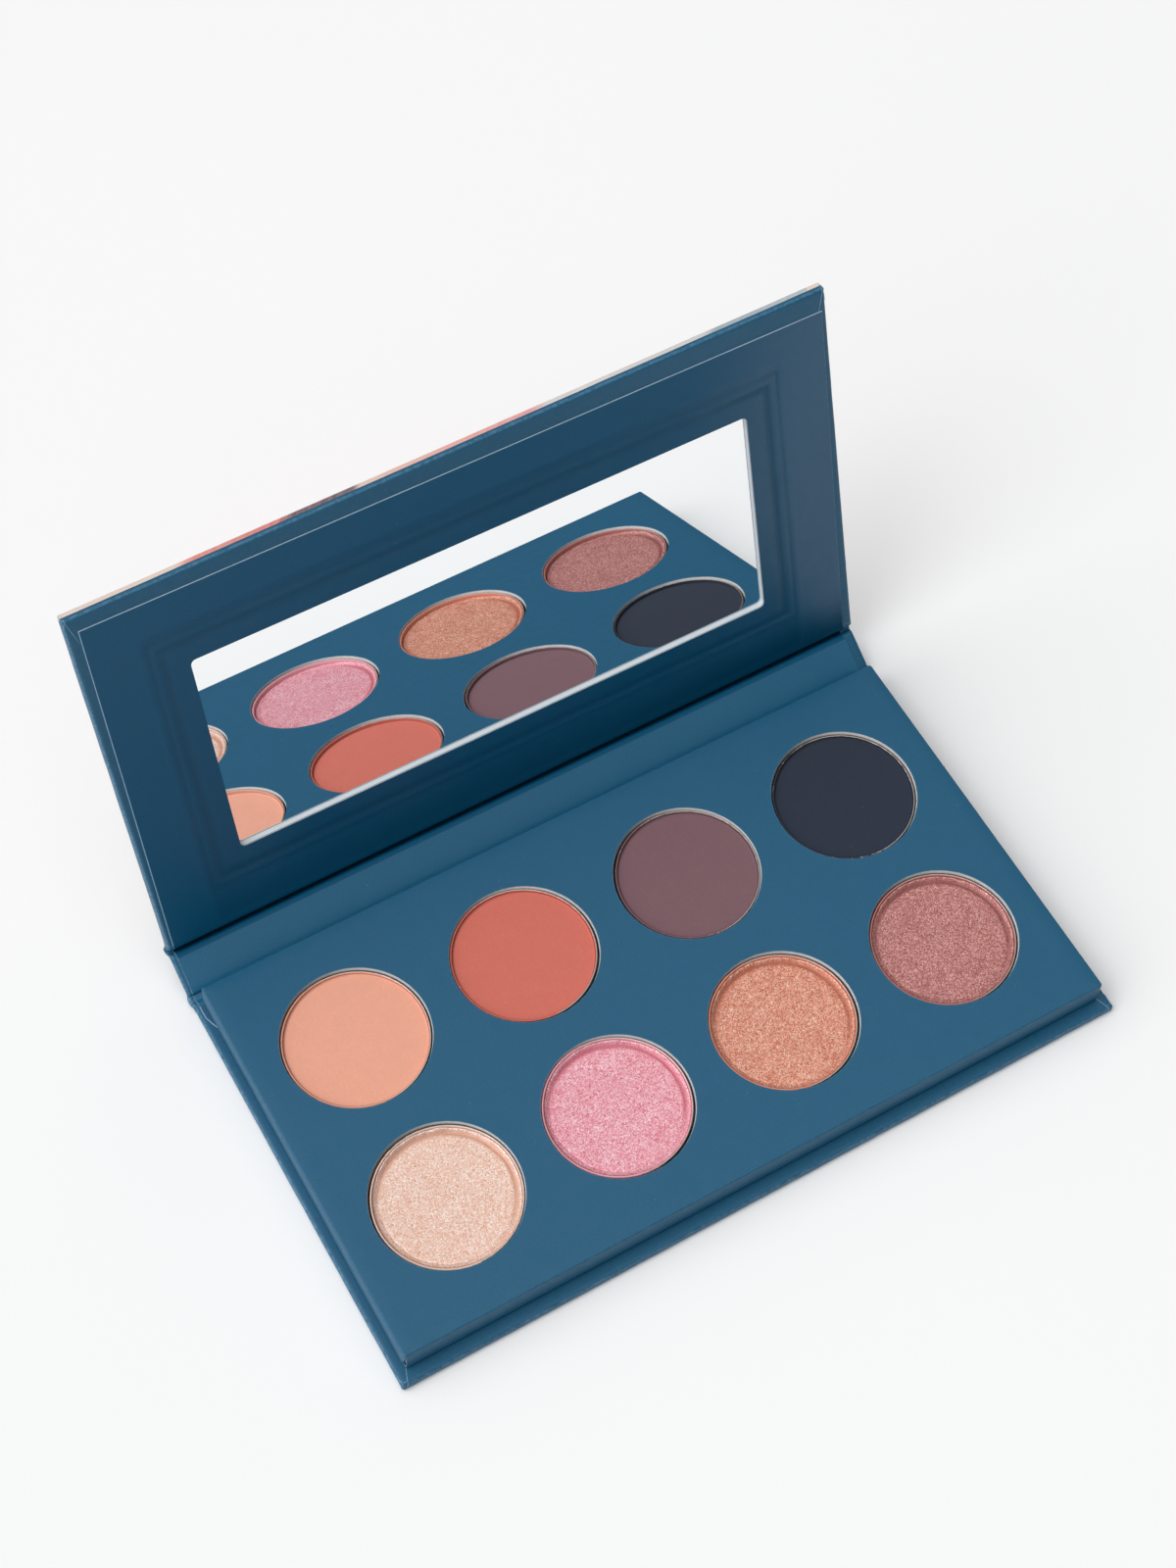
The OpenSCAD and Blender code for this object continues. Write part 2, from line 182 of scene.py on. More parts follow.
def paper(name, colour, worn, sheen, gloss):
    """Matt laminated paper: a fine printed grain, faint mottling, and edges that are rubbed pale. sheen is
    its lowest roughness and gloss its shine. Where the layer fold says, shade is painted on it: it is dark
    and dull there, as in a deep fold."""
    n = Nodes(name, "UV")
    n.tone = n.mix(n.span(n.noise(0.32, 2, 0.7), 0.25, 0.75), scaled(colour, 0.78), scaled(colour, 1.12))
    n.lay(scaled(colour, 0.95), n.noise(9, 3), 0.3, 0.7, 0.0, 0.35)
    speck = n.span(n.cells(1.1, "Distance"), 0.05, 0.1, 1.0, 0.0)
    rare = n.span(n.noise(3.0, 1), 0.62, 0.68)
    n.lay(worn, n.times(n.times(speck, rare), 0.3))
    wear, fold = n.layer("wear"), n.layer("fold")
    patchy = n.span(n.noise(0.9, 3, 0.7), 0.35, 0.65)
    rubbed = n.times(n.span(wear, 0.0, 1.0), n.maths("MAXIMUM", patchy, n.span(wear, 0.7, 1.0)))
    n.lay(worn, rubbed)
    # painted shade: the layer fold darkens the paper where it would lie in shade in a fold or crease, less
    # where it is rubbed
    n.lay(scaled(colour, 0.12), n.times(fold, n.span(wear, 0.3, 0.8, 0.85, 0.0)))
    shine = n.span(n.maths("MAXIMUM", fold, n.layer("dull")), 0.0, 0.5, gloss, 0.02)
    return n.to(Base_Color=n.tone, Roughness=n.span(n.noise(2.4), 0.3, 0.7, sheen, sheen + 0.1),
                Specular_IOR_Level=shine, Normal=paper_grain(n))


def card(name, light, dark):
    """Cut edge of paper or grey board, with fibres. Its layer shade darkens it."""
    light, dark = srgb(light), srgb(dark)
    n = Nodes(name, Roughness=0.9, Specular_IOR_Level=0.2)
    fibre = n.noise(0.25, 4, 0.75, 0.4)
    n.tone = n.mix(n.span(fibre, 0.3, 0.7), dark, light)
    n.lay(dark, n.noise(2.5), 0.35, 0.65, 0.0, 0.25)
    n.lay(scaled(dark, 0.12), n.layer("shade"))
    return n.to(Base_Color=n.tone, Normal=n.bump(fibre, 0.05, 0.7))


def metal(name, colour, rough, dust_and_shade=None):
    """Thin metal with drawing marks. Its last argument is the powder colour laid on it where its layer
    says:
    powder that clings to it, and a dull powder tone painted as shade on the side away from the light.
    """
    n = Nodes(name, Metallic=1.0, Roughness=rough)
    marks = n.noise(0.5, 3, 0.6)
    n.tone = n.mix(n.span(marks, 0.3, 0.7), scaled(colour, 0.82), colour)
    n.to(Normal=n.bump(marks, 0.01, 0.5))
    if dust_and_shade is None:
        return n.to(Base_Color=n.tone, Roughness=n.span(n.noise(1.6), 0.3, 0.7, rough - 0.08, rough + 0.12))
    patch = n.maths("ADD", n.layer("dust_and_shade"), n.span(n.noise(0.8, 3, 0.7), 0.25, 0.75, -0.45, 0.45))
    share = n.span(patch, 0.42, 0.6)
    return n.to(Base_Color=n.mix(share, n.tone, dust_and_shade), Metallic=n.span(share, 0.0, 1.0, 1.0, 0.0),
                Roughness=n.mix(share, (rough, rough, rough, 1), (0.9, 0.9, 0.9, 1)))


def matte_powder(name, colour):
    """Pressed matte powder: velvety, with a fine grain and a few pale specks."""
    n = Nodes(name, Roughness=0.95, Specular_IOR_Level=0.15, Sheen_Weight=0.12, Sheen_Roughness=0.4)
    grain = n.noise(0.22, 3, 0.75)
    n.tone = n.mix(n.span(grain, 0.3, 0.7), scaled(colour, 0.9), scaled(colour, 1.07))
    n.lay(scaled(colour, 0.88), n.noise(3.5, 3, 0.6, 0.3), 0.3, 0.7, 0.0, 0.3)
    speck = n.span(n.cells(1.5, "Distance"), 0.05, 0.1, 0.8, 0.0)
    pale = tuple(min(1.0, c * 1.3 + 0.02) for c in colour[:3]) + (1.0,)
    n.lay(pale, n.times(speck, n.span(n.cells(1.5), 0.74, 0.78)))
    # painted shade: the layer edge darkens the rim away from the bead, the layer shade the side where the
    # hole's edge keeps the light off
    n.lay(scaled(colour, 0.6), n.times(n.layer("edge"), 0.35))
    n.lay(scaled(colour, 0.3), n.times(n.layer("shade"), 0.65))
    return n.to(Base_Color=n.tone, Normal=n.bump(grain, 0.035, 0.6))


def shimmer_powder(name, colour, deep, light):
    """Pressed shimmer powder: flakes of mica that each tilt their own way, over a deeper base."""
    n = Nodes(name, Specular_IOR_Level=0.5, Roughness=0.4, Metallic=0.25)
    flake = n.add("SeparateColor", {"Color": n.cells(0.13)}).node.outputs
    second = n.add("SeparateColor", {"Color": n.cells(0.2)}).node.outputs
    n.tone = n.mix(n.span(flake[0], 0.15, 0.75), deep, colour)
    n.lay(light, second[1], 0.55, 1.0, 0.0, 0.8)
    n.lay(scaled(light, 1.12), flake[1], 0.86, 0.93)
    n.lay(scaled(deep, 0.7), second[0], 0.06, 0.03, 0.0, 0.7)
    n.lay(deep, n.noise(2.6, 3, 0.6, 0.4), 0.35, 0.7, 0.0, 0.3)
    # the layer edge darkens a deeper ring and, as painted shade, the rim away from the bead; the layer
    # shade is painted shade
    n.lay(scaled(deep, 0.85), n.times(n.layer("edge"), 0.95))
    n.lay(scaled(deep, 0.42), n.times(n.layer("shade"), 0.75))
    lit = n.layer("lit")
    n.lay(scaled(mixed(deep, colour, 0.5), 1.12), n.times(lit, 0.75))
    n.lay(scaled(light, 1.2), n.times(lit, n.span(flake[1], 0.55, 0.8)))
    normal = n.bump(n.noise(0.45, 2, 0.6), 0.06, 0.6, n.bump(flake[0], 0.05, 0.75))
    return n.to(Base_Color=n.tone, Roughness=n.span(flake[2], 0.0, 1.0, 0.28, 0.62), Normal=normal)


def cover_print(name):
    """Soft overlapping diagonal washes of colour, laid out for this model alone."""
    n = Nodes(name, "UV", Roughness=0.5, Specular_IOR_Level=0.35)
    turn = n.add("Mapping", {"Vector": n.at, "Rotation": (0, 0, radians(-33))})
    bend = n.add("TexNoise", {"Vector": n.at, "Scale": 1 / 46, "Detail": 1.0}, "Color")
    swing = n.add("VectorMath", {0: bend, 1: (34, 34, 0)}, operation="MULTIPLY")
    moved = n.add("VectorMath", {0: turn, 1: swing}, operation="ADD")
    share = n.maths("FRACT", n.times(n.add("SeparateXYZ", {"Vector": moved}), 1 / 118), 0.0)
    ramp = n.add("ValToRGB", {"Fac": share})
    bands = [(0.0, "e2cec2"), (0.15, "e2cec2"), (0.165, "e08c80"), (0.27, "d67670"), (0.28, "6e4c54"),
             (0.38, "604652"), (0.392, "dec4b6"), (0.53, "e8aa9e"), (0.62, "e29896"), (0.635, "d6d2ce"),
             (0.83, "cecccb"), (0.845, "96a8b2"), (0.97, "b0babe")]
    stops = ramp.node.color_ramp.elements
    for index, (place, colour) in enumerate(bands):
        stop = stops[index] if index < 2 else stops.new(place)
        stop.position, stop.color = place, srgb(colour)
    stroke = n.add("Mapping", {"Vector": turn, "Scale": (3.0, 0.25, 1.0)})
    brush = n.noise(2.2, 4, 0.6, at=stroke)
    n.tone = n.mix(n.span(brush, 0.35, 0.7, 0.0, 0.22), ramp, srgb("eee2da"))
    n.lay(srgb("967870"), n.noise(0.32, 2, 0.7), 0.3, 0.7, 0.12, 0.0)
    n.lay(srgb("f0e8e2"), n.times(n.layer("wear"), 0.35))
    return n.to(Base_Color=n.tone, Roughness=n.span(n.noise(2.4), 0.3, 0.7, 0.46, 0.58),
                Normal=paper_grain(n))


BLUE = srgb("075678")
# a little darker than the wrap's blue: partly the liner's own tone, partly painted shade for the lid
LINER_BLUE = srgb("095275")
RUBBED = srgb("92bad4")
M_WRAP = paper("wrap_paper_look", BLUE, RUBBED, 0.42, 0.42)
M_LINER = paper("liner_paper_look", LINER_BLUE, RUBBED, 0.36, 0.6)
# a lighter copy of the liner paper, for the spine and the base's crease: painted sheen
M_LIT_SPINE_LINER = paper("lit_spine_liner_look", srgb("0f6084"), RUBBED, 0.36, 0.5)
M_PRINT = cover_print("cover_print_look")
M_CUT = card("paper_cut_edge", "ced6dc", "a0acb6")
M_BOARD = card("grey_board_look", "bab2a8", "8e867e")
# pale blue of rubbed folds and cut edges; on the tucks also a painted highlight
M_FOLD = card("rubbed_and_lit_fold_look", "96bcd4", "608eac")
M_PUNCHED = card("punched_edge_look", "e8e2e0", "c4bebc")
M_WHITE_CARD = card("window_card_look", "e4e8eb", "d4dadf")
# painted shade: the grey-blue band round the window's cut edge
M_LINE = card("window_shadow_band_look", "96acba", "7892a4")
M_MAGNET = metal("magnet_plating_look", srgb("bebcb8"), 0.28)
# near black: painted shade in the hollow behind the tray's corner slit
M_SHADOW = card("inner_flap_shadow_look", "18222e", "0c121a")


# ---- mesh helpers
def piece(name, verts, faces, mats, matrix=WORLD, body=None, bend=None, slot=None, stands_for=(),
          uv=None, layers=(), face_mats=None, thickness=0.0, toward=None, weld=0.0004, crease=38, rim=1):
    """Makes a mesh in the shared frame. toward is a direction that its faces look to; without it they
    look away from the middle. thickness grows a sheet away from its faces, with a cut edge."""
    bm = bmesh.new()
    layers, uv = dict(layers), uv or verts
    data = {key: bm.verts.layers.float.new(key) for key in layers}
    uv_layer = bm.loops.layers.uv.new("flat")
    made = []
    for index, co in enumerate(verts):
        vert = bm.verts.new((matrix @ Vector(co)) * MM)
        for key, layer in data.items():
            vert[layer] = layers[key][index]
        made.append(vert)
    for index, corners in enumerate(faces):
        face = bm.faces.new([made[c] for c in corners])
        face.smooth = True
        face.material_index = face_mats[index] if face_mats else 0
        for loop, corner in zip(face.loops, corners):
            loop[uv_layer].uv = uv[corner][:2]
    bmesh.ops.remove_doubles(bm, verts=bm.verts, dist=weld * MM)
    bmesh.ops.dissolve_degenerate(bm, edges=bm.edges, dist=weld * MM / 2)
    bmesh.ops.recalc_face_normals(bm, faces=bm.faces)
    middle = sum((f.calc_center_median() for f in bm.faces), Vector()) / len(bm.faces)
    aim = matrix.to_3x3() @ Vector(toward) if toward else None
    lean = sum(f.normal.dot(aim if toward else f.calc_center_median() - middle) * f.calc_area()
               for f in bm.faces)
    if lean < 0:
        bmesh.ops.reverse_faces(bm, faces=bm.faces)
    mesh = bpy.data.meshes.new(name)
    bm.to_mesh(mesh)
    bm.free()
    for material in mats:
        mesh.materials.append(material)
    obj = bpy.data.objects.new(name, mesh)
    scene.collection.objects.link(obj)
    if thickness:
        shell = obj.modifiers.new("thickness", "SOLIDIFY")
        shell.thickness = thickness * MM
        shell.offset = -1
        shell.use_even_offset = False
        shell.material_offset_rim = rim
        graph = bpy.context.evaluated_depsgraph_get()
        obj.data = bpy.data.meshes.new_from_object(obj.evaluated_get(graph))
        obj.modifiers.clear()
        bpy.data.meshes.remove(mesh)
    obj.data.set_sharp_from_angle(angle=radians(crease))
    if body:
        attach(obj, body)
    if bend:
        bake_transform(obj)
    if stands_for:
        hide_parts(*stands_for)
    return obj


def lattice(rows):
    """Points and faces of a grid given as rows of points."""
    count = len(rows[0])
    faces = [(i * count + j, i * count + j + 1, (i + 1) * count + j + 1, (i + 1) * count + j)
             for i in range(len(rows) - 1) for j in range(count - 1)]
    return [p for row in rows for p in row], faces


def fill(loops, inner, keep):
    """Triangles over a flat area inside the first loop and outside the others."""
    points, edges = [], []
    for loop in loops:
        start = len(points)
        points += [Vector(p[:2]) for p in loop]
        edges += [(start + k, start + (k + 1) % len(loop)) for k in range(len(loop))]
    points += [Vector(p) for p in inner]
    verts, _, faces, *_ = delaunay_2d_cdt(points, edges, [], 1, 1e-6)
    middles = [[sum(verts[i][axis] for i in face) / len(face) for axis in (0, 1)] for face in faces]
    return ([tuple(v) for v in verts],
            [tuple(face) for face, middle in zip(faces, middles) if keep(*middle)])


def close_face(verts, faces, uv, wear, loops, inner, keep, level, apart=0):
    """Fills a sheet's flat face inside its rim. level gives the z and the wear of a point."""
    flat, triangles = fill(loops, inner, keep)
    faces += [tuple(len(verts) + c for c in tri) for tri in triangles]
    for x, y in flat:
        z, rubbed = level(x, y)
        verts.append((x, y, z))
        uv.append((x, y + apart))
        wear.append(rubbed)
    return len(triangles)


def wave(x, y, z, size):
    """Smooth noise from -1 to 1 with features of that size."""
    return noise.noise(Vector((x / size, y / size, z)))


def ring_wave(a, reach, z):
    """Smooth noise from -1 to 1 round a circle."""
    return noise.noise(Vector((cos(a) * reach, sin(a) * reach, z)))


def ease(t):
    t = min(max(t, 0.0), 1.0)
    return t * t * (3 - 2 * t)


def ridge(d, width):
    return exp(-(d / width) ** 2)


def mixed(a, b, t):
    return tuple(p + (q - p) * t for p, q in zip(a, b))


def around(centre, r, a):
    return centre[0] + r * cos(a), centre[1] + r * sin(a)


def turns(count):
    return [2 * pi * k / count for k in range(count)]


def circle(centre, r, count):
    return [around(centre, r, a) for a in turns(count)]


def arc(cx, cy, r, start, end, steps):
    """Points on an arc, in degrees."""
    return [around((cx, cy), r, radians(start + (end - start) * k / steps)) for k in range(steps + 1)]


def ticks(low, high, step):
    count = max(1, round((high - low) / step))
    return [low + (high - low) * k / count for k in range(count + 1)]


def with_run(line):
    """Adds to each (inset, z) of a profile how far along it lies."""
    out, run = [], 0.0
    for k, point in enumerate(line):
        run += hypot(point[0] - line[k - 1][0], point[1] - line[k - 1][1]) if k else 0.0
        out.append((*point, run))
    return out


# ---- wrapping paper
FLATS = (0.02, 0.05, 0.09, 0.14, 0.22, 0.34, 0.5, 0.7, 0.85, 1.0)
TOP_START = 10               # first sample of a profile on the inner face
RIM_WEAR = {1: 0.3, 2: 0.4, 3: 0.3, 8: 0.22, 9: 0.22}


def edge_profile(height):
    """Samples (inset, z, arc length) from the outer face round a wrapped edge to the end of the fold."""
    r = min(EDGE_R, (height + HALF) / 2)
    angles = [radians(22.5 * k) for k in range(5)]
    low, high = -HALF + r, height - r
    line = [(r * (1 - sin(a)), -HALF + r * (1 - cos(a))) for a in angles]
    line += [(0.0, low + (high - low) * f) for f in (0.34, 0.68)]
    line += [(r * (1 - cos(a)), height - r * (1 - sin(a))) for a in angles]
    return with_run(line + [(r + (TURN_IN - r) * f, height) for f in FLATS])


CORNER_R = 0.55              # of the cover's corners, seen from above


def leaf_stations():
    """Stations round the three free edges: (kind, side, y on a side, degrees at a corner or x)."""
    half, turn = COVER_W / 2, COVER_D - CORNER_R
    ys = [LEAF_START, 2.7, 3.0, 3.4, 5.0] + ticks(7.5, turn - 0.6, 2.5) + [turn]
    xs = [-half + CORNER_R] + ticks(-half + CORNER_R + 0.6, half - CORNER_R - 0.6, 2.5) + [half - CORNER_R]
    return ([("side", -1, y) for y in ys] + [("corner", -1, 180 - 15 * k) for k in range(7)]
            + [("far", 0, x) for x in xs] + [("corner", 1, 90 - 15 * k) for k in range(7)]
            + [("side", 1, y) for y in reversed(ys)])


def leaf_place(station, inset):
    """(x, y) of a station at an inset from the cover's edge."""
    kind, side, value = station
    half = COVER_W / 2
    if kind == "side":
        return side * (half - inset), value
    if kind == "far":
        return value * (half - inset) / half if inset > CORNER_R else value, COVER_D - inset
    if inset <= CORNER_R:
        return around((side * (half - CORNER_R), COVER_D - CORNER_R), CORNER_R - inset, radians(value))
    return side * (half - inset), COVER_D - inset


def leaf_wrap(body, matrix, height, slot, outside, print_far=0, print_side=0):
    """The paper round a leaf: its outer face, three wrapped edges and the folded-over strips. The flaps
    meet along a mitre at each corner. A print goes round an edge as far as print_far and print_side say,
    and its face is a little dented."""
    stations, profile = leaf_stations(), edge_profile(height)
    rows, uv, wear, face_mats = [], [], [], []
    for station in stations:
        kind, side, value = station
        row = []
        for k, (inset, z, run) in enumerate(profile):
            x, y = leaf_place(station, inset)
            if kind == "far" and inset > CORNER_R:
                limit = COVER_W / 2 - inset
                x = max(-limit, min(limit, value))
            elif kind == "side" and inset > CORNER_R:
                y = min(y, COVER_D - inset)
            wobble = 0.0
            if k > TOP_START:
                wobble = 0.018 * wave(x, y, 5.0, 9.0) - 0.02
            elif k > 6 and kind != "corner":
                wobble = 0.035 * wave(x, y, 3.0, 7.0)
            sway = abs(0.05 * wave(x, y, 9.0, 6.0) - 0.05) if 1 < k < TOP_START else 0.0
            if kind == "side":
                x -= side * sway
            elif kind == "far":
                y -= sway
            row.append((x, y, z - abs(wobble)))
            uv.append(leaf_place(station, profile[0][0] - run))
            wear.append(RIM_WEAR.get(k, 0.02) * (1.4 if kind == "side" else 1))
        rows.append(row)
    for a, b in zip(stations, stations[1:]):
        limit = print_side if a[0] == b[0] == "side" else print_far
        face_mats += [0 if (p[2] + q[2]) / 2 < limit else 1 for p, q in zip(profile, profile[1:])]
    verts, faces = lattice(rows)
    inner = [(x, y) for x in ticks(-66, 66, 6) for y in ticks(6, COVER_D - 6, 6)]

    def level(x, y):
        near = min(COVER_W / 2 - abs(x), COVER_D - y, y) / 4
        return -HALF + (0.05 * abs(wave(x, y, 1.0, 24.0)) * ease(near - 0.2) if print_far else 0.0), 0.02

    count = close_face(verts, faces, uv, wear, [[row[0] for row in rows]], inner, lambda x, y: True, level)
    face_mats += [0 if print_far else 1] * count
    piece(body + "_wrap_paper", verts, faces, [outside, M_WRAP, M_WRAP, M_CUT], matrix, body, slot=slot,
          stands_for=[body + "_wrap"], uv=uv, layers={"wear": wear}, face_mats=face_mats,
          thickness=WRAP - 0.01, rim=3, weld=0.002)


STIFF_X, STIFF_W = 71.1, 2.9     # where glue stiffens a crease's papers at the sides, and how wide


def inward(x):
    """0 at the cover's side edge and 1 where the papers lie as they do further in."""
    return ease((STIFF_X - x) / STIFF_W)


def strip_wrap(name, stations, **how):
    """A length of the paper across the whole cover. Each station is (outer point, inner point, inner
    point at the right edge, place along the strip, share of bulge): points are (y, z) in the frame."""
    rows, uv, wear = [], [], []
    for outer, inner, right, run_y, bulge in stations:
        row = []
        for side in (-1, 1):
            rim = right if side == 1 else inner
            height = dist(outer, rim) - HALF
            samples = edge_profile(height)
            if side == 1:
                for x in ticks(-COVER_W / 2 + 3, COVER_W / 2 - 3, 4):
                    row.append((x, *outer))
                    uv.append((x, run_y))
                    wear.append(0.02)
            for k, (inset, z, run) in list(enumerate(samples))[::side]:
                f = (z + HALF) / (height + HALF)
                out = 0.0
                if 0 < k < TOP_START and bulge:
                    swell = sin(pi * min(max((f - 0.05) / 1.25, 0.0), 1.0))
                    out = (0.42 if side < 0 else 0.05) * bulge * swell
                    out += (0.11 if side < 0 else 0.03) * bulge * noise.noise(
                        Vector((side * 7.7, run_y * 1.9, f * 2.2)))
                x = COVER_W / 2 - inset
                row.append((side * (x + out), *mixed(outer, mixed(rim, inner, inward(x)), f)))
                uv.append((side * (COVER_W / 2 - samples[0][0] + run), run_y))
                wear.append(RIM_WEAR.get(k, 0.02) + (0.5 * bulge if 4 < k < 10 else 0.0))
        rows.append(row)
    piece(name, *lattice(rows), [M_WRAP, M_CUT], uv=uv, layers={"wear": wear}, slot="wrap_paper",
          thickness=WRAP - 0.01, weld=0.002, **how)


def flat_of(leaf, y, z):
    """(y, z) in the frame of a point on a leaf."""
    return tuple(leaf @ Vector((0, y, z)))[1:]


def way(leaf, y, z):
    """A direction of a leaf, in the frame."""
    return leaf.to_3x3() @ Vector((0, y, z))


def outer_curve(start, end):
    """(y, z) round the outside of a crease, from the first leaf's papers to the second's."""
    ys = (LEAF_START, 2.2, 1.9, 1.65, 1.4)
    points = [flat_of(start, y, -HALF) for y in ys]
    a0, b0 = start @ Vector((0, STRIP, 0)), end @ Vector((0, STRIP, 0))
    dir_a, dir_b = way(start, -1, 0), way(end, 1, 0)
    n_a, n_b = way(start, 0, 1), way(end, 0, 1)
    m = STRIP * 1.9
    for t in ticks(0, 1, 1 / 12):
        at = (a0 * (2 * t ** 3 - 3 * t ** 2 + 1) + dir_a * m * (t ** 3 - 2 * t ** 2 + t)
              + b0 * (3 * t ** 2 - 2 * t ** 3) + dir_b * m * (t ** 3 - t ** 2))
        at -= (n_a * (1 - ease(t)) + n_b * ease(t)).normalized() * HALF
        points.append((at.y, at.z))
    return points + [flat_of(end, y, -HALF) for y in reversed(ys)]


def valley_curve(start, end, top_a, top_b, valley, less=0.0):
    """(y, z) of the inner face through a crease: over the rounded end of each leaf and down to a valley.
    less lowers it by a paper's thickness."""
    normal = (way(start, 0, 1) + way(end, 0, 1)).normalized()
    low = start.translation + normal * (valley - less)
    halves = []
    for matrix, top in ((start, top_a), (end, top_b)):
        r, centre = (0.5, 1.9) if matrix is LID else (0.6, 1.75) if start is BASE else (1.0, 2.15)
        top, turn = top - less, r - less
        line = [(LEAF_START, top)] + arc(centre, top - turn, turn, 90, 180, 5)
        half = [flat_of(matrix, y, z) for y, z in line]
        foot = Vector((0, *half[-1]))
        hook = matrix @ Vector((0, centre - turn - 0.12, (valley - less) * 0.9))
        for t in (0.2, 0.4, 0.6, 0.8):
            at = foot * (1 - t) ** 2 + hook * 2 * t * (1 - t) + low * t * t
            half.append((at.y, at.z))
        halves.append(half)
    return halves[0] + [(low.y, low.z)] + halves[1][::-1]


def crease_of(a, b, start, end, top_a, top_b, valley):
    """What the papers over a crease share: frames and liner tops of its leaves, height of the liner's
    valley, and the two blend points in metres."""
    bend = (a, b, *(tuple((leaf @ Vector((0, STRIP, 0))) * MM) for leaf in (start, end)))
    return start, end, top_a + LINER, top_b + LINER, valley, bend


def crease_wrap(name, crease):
    """The wrapping paper over a crease."""
    *leaves, valley, bend = crease
    outer = outer_curve(*leaves[:2])
    inner = valley_curve(*leaves, valley, LINER)
    right = valley_curve(*leaves, RIGHT_VALLEY, LINER)
    last = len(outer) - 1
    strip_wrap(name, [(o, i, r, (k / last - 0.5) * 2 * LEAF_START, sin(pi * k / last) ** 2)
                      for k, (o, i, r) in enumerate(zip(outer, inner, right))], bend=bend)


BASE_CREASE = crease_of("base", "spine", BASE, SPINE, BASE_STACK, SPINE_STACK, 1.35)
LID_CREASE = crease_of("spine", "lid", SPINE_END, LID, SPINE_STACK, LID_STACK, 0.5)
RIGHT_VALLEY = 1.45         # height of both valleys at the right edge, where the glue stiffens the papers
leaf_wrap("base", BASE, BASE_STACK, "wrap_paper", M_WRAP)
leaf_wrap("lid", LID, LID_STACK, "cover_print", M_PRINT, 1.9, 0.3)
strip_wrap("spine_wrap_paper",
           [(flat_of(SPINE, y, -HALF), *[flat_of(SPINE, y, SPINE_STACK)] * 2, y + 5, 0.12 * (k % 2))
            for k, y in enumerate(ticks(LEAF_START, SPINE_LEN - LEAF_START, 0.5))],
           body="spine", stands_for=["spine_wrap"])
crease_wrap("base_crease_paper", BASE_CREASE)
crease_wrap("lid_crease_paper", LID_CREASE)


def mitre_edges(body, matrix, height, start, lean):
    """The cut edge where the side's fold lies over the far one, and the tuck in the corner's rounding, pale
    partly as a painted highlight on the fold.
    """
    r, verts, faces = EDGE_R, [], []
    over = arc(r, height - r, r, 90, 180, 4)[1:]
    seam = [(start + lean * d, d, height) for d in (5.5, 3.4, 2.2, 1.3, r)]
    seam += [((start + lean * r) * (0.96 - 0.08 * k), inset, z) for k, (inset, z) in enumerate(over)]
    tuck = [(0.06, 3.0, height - 0.4), (0.12, 2.2, height - 0.32), (0.22, 1.4, height - 0.22),
            (0.4, 0.85, height - 0.12), (0.6 * start + 0.1, 0.64, height - 0.03),
            (start + lean * 0.74 - 0.08, 0.74, height)]
    for side in (-1, 1):
        for line, wide in ((seam, 0.05), (tuck, 0.045)):
            path = [Vector((side * (COVER_W / 2 - a), COVER_D - b, z)) for a, b, z in line]
            for k, p in enumerate(path):
                along = (path[min(k + 1, len(path) - 1)] - path[max(k - 1, 0)]).normalized()
                a, b, _ = line[k]
                lean_x, lean_y = max(0.0, 1 - a / r), max(0.0, 1 - b / r)
                out = Vector((side * lean_x, lean_y, sqrt(max(0.02, 1 - lean_x ** 2 - lean_y ** 2))))
                out.normalize()
                edge = along.cross(out).normalized() * wide * (0.3 if k in (0, len(path) - 1) else 1)
                here = p + out * 0.03
                verts += [tuple(here - edge), tuple(here + edge)]
                if k:
                    c = len(verts)
                    faces.append((c - 4, c - 3, c - 1, c - 2))
    piece(body + "_mitre_edges", verts, faces, [M_FOLD] * 2, matrix, body, slot="wrap_paper",
          thickness=0.06, toward=(0, 0.3, 1))


mitre_edges("base", BASE, BASE_STACK, 1.03, 0.373)
mitre_edges("lid", LID, LID_STACK, 0.45, 0.26)

# ---- liner paper
EDGE_COLUMNS = (0.0, 0.11, 0.17)        # columns of points at a cut edge, from the edge
CORE = 0.14                             # how wide the pale core shows there


def across(shift, half=LINER_X):
    """Places across a liner, close together at its two edges."""
    inner = [(half - 1) * (k / 35 - 1) for k in range(71)]
    return [x + shift for x in [-half + e for e in EDGE_COLUMNS] + inner
            + [half - e for e in EDGE_COLUMNS[::-1]]]


def pale_edges(rows, share):
    """Wear of rows: the knife left the core showing along the left edge, and hardly at the right."""
    count = len(rows[0])
    return [share * (1.0 if k < 2 else 0.22 if k > count - 3 else 0.0) for k in range(count)] * len(rows)


def window_sides(u, v):
    """How far a point is inside the window's upright and level sides."""
    return WINDOW_X - abs(u), (WINDOW_HIGH - WINDOW_LOW) / 2 - abs(v - WINDOW_MID)


def window_depth(u, v):
    """How far a point is inside the window's outline; the corners have a radius of 1 mm."""
    a, b = window_sides(u, v)
    return 1 - hypot(1 - a, 1 - b) if a < 1 and b < 1 else min(a, b)


